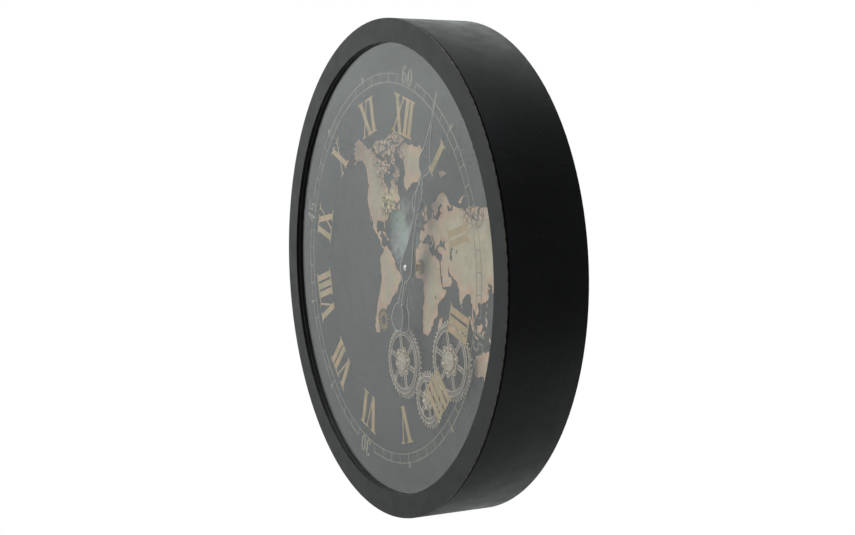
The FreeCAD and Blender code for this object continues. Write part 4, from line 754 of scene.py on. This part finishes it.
# For each point, its least distance to the runs of the outline: the share along a run is the point's
# offset times the run over the run's square, held between 0 and 1
def shoreDistance(outline, points):
    run = np.roll(outline, -1, axis=0) - outline
    share = ((points[:, None] - outline) * run).sum(axis=2) / np.maximum((run * run).sum(axis=1), 1e-12)
    nearest = outline + np.clip(share, 0, 1)[..., None] * run
    return np.linalg.norm(points[:, None] - nearest, axis=2).min(axis=1)


# Corners and triangles of the area inside an outline, with a square grid of points inside it that keeps
# a quarter of its step from the shore, and each corner's distance to the shore
def filledOutline(outline, step):
    low, high = outline.min(axis=0) + step / 2, outline.max(axis=0)
    grid = np.meshgrid(np.arange(low[0], high[0], step), np.arange(low[1], high[1], step), indexing="ij")
    inner = np.stack(grid, axis=-1).reshape(-1, 2)
    inner = inner[insideOutline(outline, inner)]
    if len(inner):
        inner = inner[shoreDistance(outline, inner) > step / 4]
    points = [Vector(point) for point in np.vstack((outline, inner))]
    found = delaunay_2d_cdt(points, [], [list(range(len(outline)))], 1, 1e-7)
    corners = np.array(found[0])
    return corners, np.array(found[2]), shoreDistance(outline, corners)


# Points of the dial's plane set at a depth behind the bezel's front
def atDepth(points, depth):
    return np.column_stack((points[:, 0], np.full(len(points), front + depth), points[:, 1]))


# Mesh of filled outlines at one depth, with each corner's distance to the shore kept on it as inland
def flatPiece(name, outlines, depth, material):
    vertices, faces, inland, count = [], [], [], 0
    for outline in outlines:
        corners, triangles, distance = filledOutline(outline, mapFacts["grid"])
        vertices.append(atDepth(corners, depth))
        faces.append(triangles + count)
        inland.append(distance)
        count += len(corners)
    mesh = meshOf(name, np.vstack(vertices), np.vstack(faces))
    mesh.attributes.new("inland", "FLOAT", "POINT").data.foreach_set("value", np.concatenate(inland))
    return linked(name, mesh, material)


# Bands between pairs of closed lines, each line at its depth: a quad joins each run of the one line
# to the same run of the other
def bandPiece(name, pairs, depths, material):
    vertices, faces, start = [], [], 0
    for pair in pairs:
        vertices += [atDepth(line, depth) for line, depth in zip(pair, depths)]
        here = start + np.arange(len(pair[0]))
        after = np.roll(here, -1)
        faces.append(np.column_stack((here, after, after + len(here), here + len(here))))
        start += 2 * len(here)
    return linked(name, meshOf(name, np.vstack(vertices), np.vstack(faces)), material)


# The outline pushed out by a width, at each point along the normal of the line between its neighbours;
# the sign of the enclosed area tells which side is out
def rimmed(outline, width):
    before, after = np.roll(outline, 1, axis=0), np.roll(outline, -1, axis=0)
    along = after - before
    length = np.maximum(np.linalg.norm(along, axis=1, keepdims=True), 1e-9)
    normal = np.column_stack((along[:, 1], -along[:, 0])) / length
    twice = (outline[:, 0] * after[:, 1] - after[:, 0] * outline[:, 1]).sum()
    return keptOnDial(outline + normal * width * (1 if twice > 0 else -1))


# The map: foil face, its side walls down to the dial in painted shade, lakes a hair above it, and a dark line
# round each coast, a painted shadow
def buildMap():
    chance = np.random.default_rng(mapFacts["seed"])
    face, shadowDepth = dialDepth - mapFacts["relief"], dialDepth - mapFacts["shadowRise"]
    outlines = [refinedCoast(coast, chance) for coast in coasts.values()]
    waters = [refinedCoast(coast, chance) for coast in lakes.values()]
    rims = [rimmed(outline, mapFacts["shadow"]) for outline in outlines]
    land = flatPiece("land_foil", outlines, face, looks["map_copper"])
    walls = bandPiece("land_walls", zip(outlines, outlines), (face, dialDepth), shoreShade)
    water = flatPiece("land_waters", waters, face - mapFacts["lakeRise"], looks["dial_dark"])
    shade = bandPiece("land_shadow", zip(outlines, rims), (shadowDepth, shadowDepth), shoreShade)
    for piece in (land, walls, water, shade):
        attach(piece, "case")
    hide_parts("map_land")
    print("map pieces", sum(len(piece.data.polygons) for piece in (land, walls, water, shade)), "faces")


buildMap()

# Light: a white room that is bright to the left and dimmer to the right and behind, and one soft lamp
lightFacts = {
    "brightSide": (-0.75, -0.6, 0.25), "bright": 1.02, "dim": 0.14, "darkest": -0.35, "brightest": 0.55,
    "tint": (0.955, 1, 0.995, 1), "key": 34.0, "keyPlace": (-1.6, -2.2, 2.2), "keySize": 1.4,
}


# Room: the strength follows the cosine between a direction and the bright side, smoothed between two
# levels, and the camera itself sees plain white
def buildWorld():
    world = bpy.data.worlds.new("room")
    bpy.context.scene.world = world
    s = Nodes(world, "Generated")
    side = Vector(lightFacts["brightSide"]).normalized()
    cosine = s.add("VectorMath", {0: s.point, 1: side}, "Value", operation="DOT_PRODUCT")
    level = s.add("MapRange", {
        "Value": cosine, "From Min": lightFacts["darkest"], "From Max": lightFacts["brightest"],
        "To Min": lightFacts["dim"], "To Max": lightFacts["bright"],
    }, interpolation_type="SMOOTHSTEP")
    room = s.add("Background", {"Color": lightFacts["tint"], "Strength": level})
    white = s.add("Background", {"Color": linear("#ffffff")})
    camera = s.add("LightPath", out="Is Camera Ray")
    s.done(s.add("MixShader", {0: camera, 1: room, 2: white}), "OutputWorld")


# Square lamp that faces the middle of the bezel
def buildLamp():
    data = bpy.data.lights.new("key", "AREA")
    data.energy, data.size = lightFacts["key"], lightFacts["keySize"]
    lamp = bpy.data.objects.new("key", data)
    lamp.location = lightFacts["keyPlace"]
    lamp.rotation_euler = (Vector((0, front, 0)) - lamp.location).to_track_quat("-Z", "Y").to_euler()
    bpy.context.scene.collection.objects.link(lamp)


floorFacts = {"drop": 0.9, "reach": 8, "fadeFrom": 1.2, "fadeTo": 6.0, "pale": "#dadada"}


# Pale matt floor below the clock: plain white to the camera, grey white to the lamps, and fading
# away with the distance from the dial, so that the glass mirrors no hard horizon
def buildFloor():
    s = Nodes(bpy.data.materials.new("pale_floor"))
    soft = s.add("BsdfDiffuse", {"Color": linear(floorFacts["pale"])})
    plain = s.add("Emission", {"Color": linear("#ffffff"), "Strength": 1.0})
    distance = s.add("VectorMath", {0: s.point}, "Value", operation="LENGTH")
    fade = s.add("MapRange", {
        "Value": distance, "From Min": floorFacts["fadeFrom"], "From Max": floorFacts["fadeTo"],
    })
    ground = s.add("MixShader", {0: fade, 1: soft, 2: s.add("BsdfTransparent")})
    camera = s.add("LightPath", out="Is Camera Ray")
    material = s.done(s.add("MixShader", {0: camera, 1: ground, 2: plain}))
    corners = np.array(((-1, -1), (1, -1), (1, 1), (-1, 1))) * floorFacts["reach"]
    vertices = np.column_stack((corners, np.full(4, -floorFacts["drop"])))
    floor = linked("floor", meshOf("floor", vertices, [(0, 1, 2, 3)]), material)


buildWorld()
buildLamp()
buildFloor()
print("room, lamp and floor set")

# Camera, fitted to the outlines of the bezel in the photograph: its place, its three axes and its lens
cameraFacts = {
    "place": (1.4280, -0.8219, 0.5288), "right": (0.446077, 0.887719, 0.113887),
    "up": (-0.3267, 0.043039, 0.944148), "back": (0.833237, -0.458369, 0.309216),
    "lens": 58.51, "sensor": 36.0, "nearest": 0.05,
}


# The camera's axes are the columns of its turn, which is then moved to its place
def buildCamera():
    data = bpy.data.cameras.new("camera")
    data.lens, data.sensor_width = cameraFacts["lens"], cameraFacts["sensor"]
    data.clip_start = cameraFacts["nearest"]
    camera = bpy.data.objects.new("camera", data)
    turn = Matrix([cameraFacts[part] for part in ("right", "up", "back")]).transposed()
    camera.matrix_world = Matrix.Translation(cameraFacts["place"]) @ turn.to_4x4()
    bpy.context.scene.collection.objects.link(camera)
    bpy.context.scene.camera = camera


buildCamera()
bpy.context.scene.view_settings.view_transform = "Standard"
print("camera set")
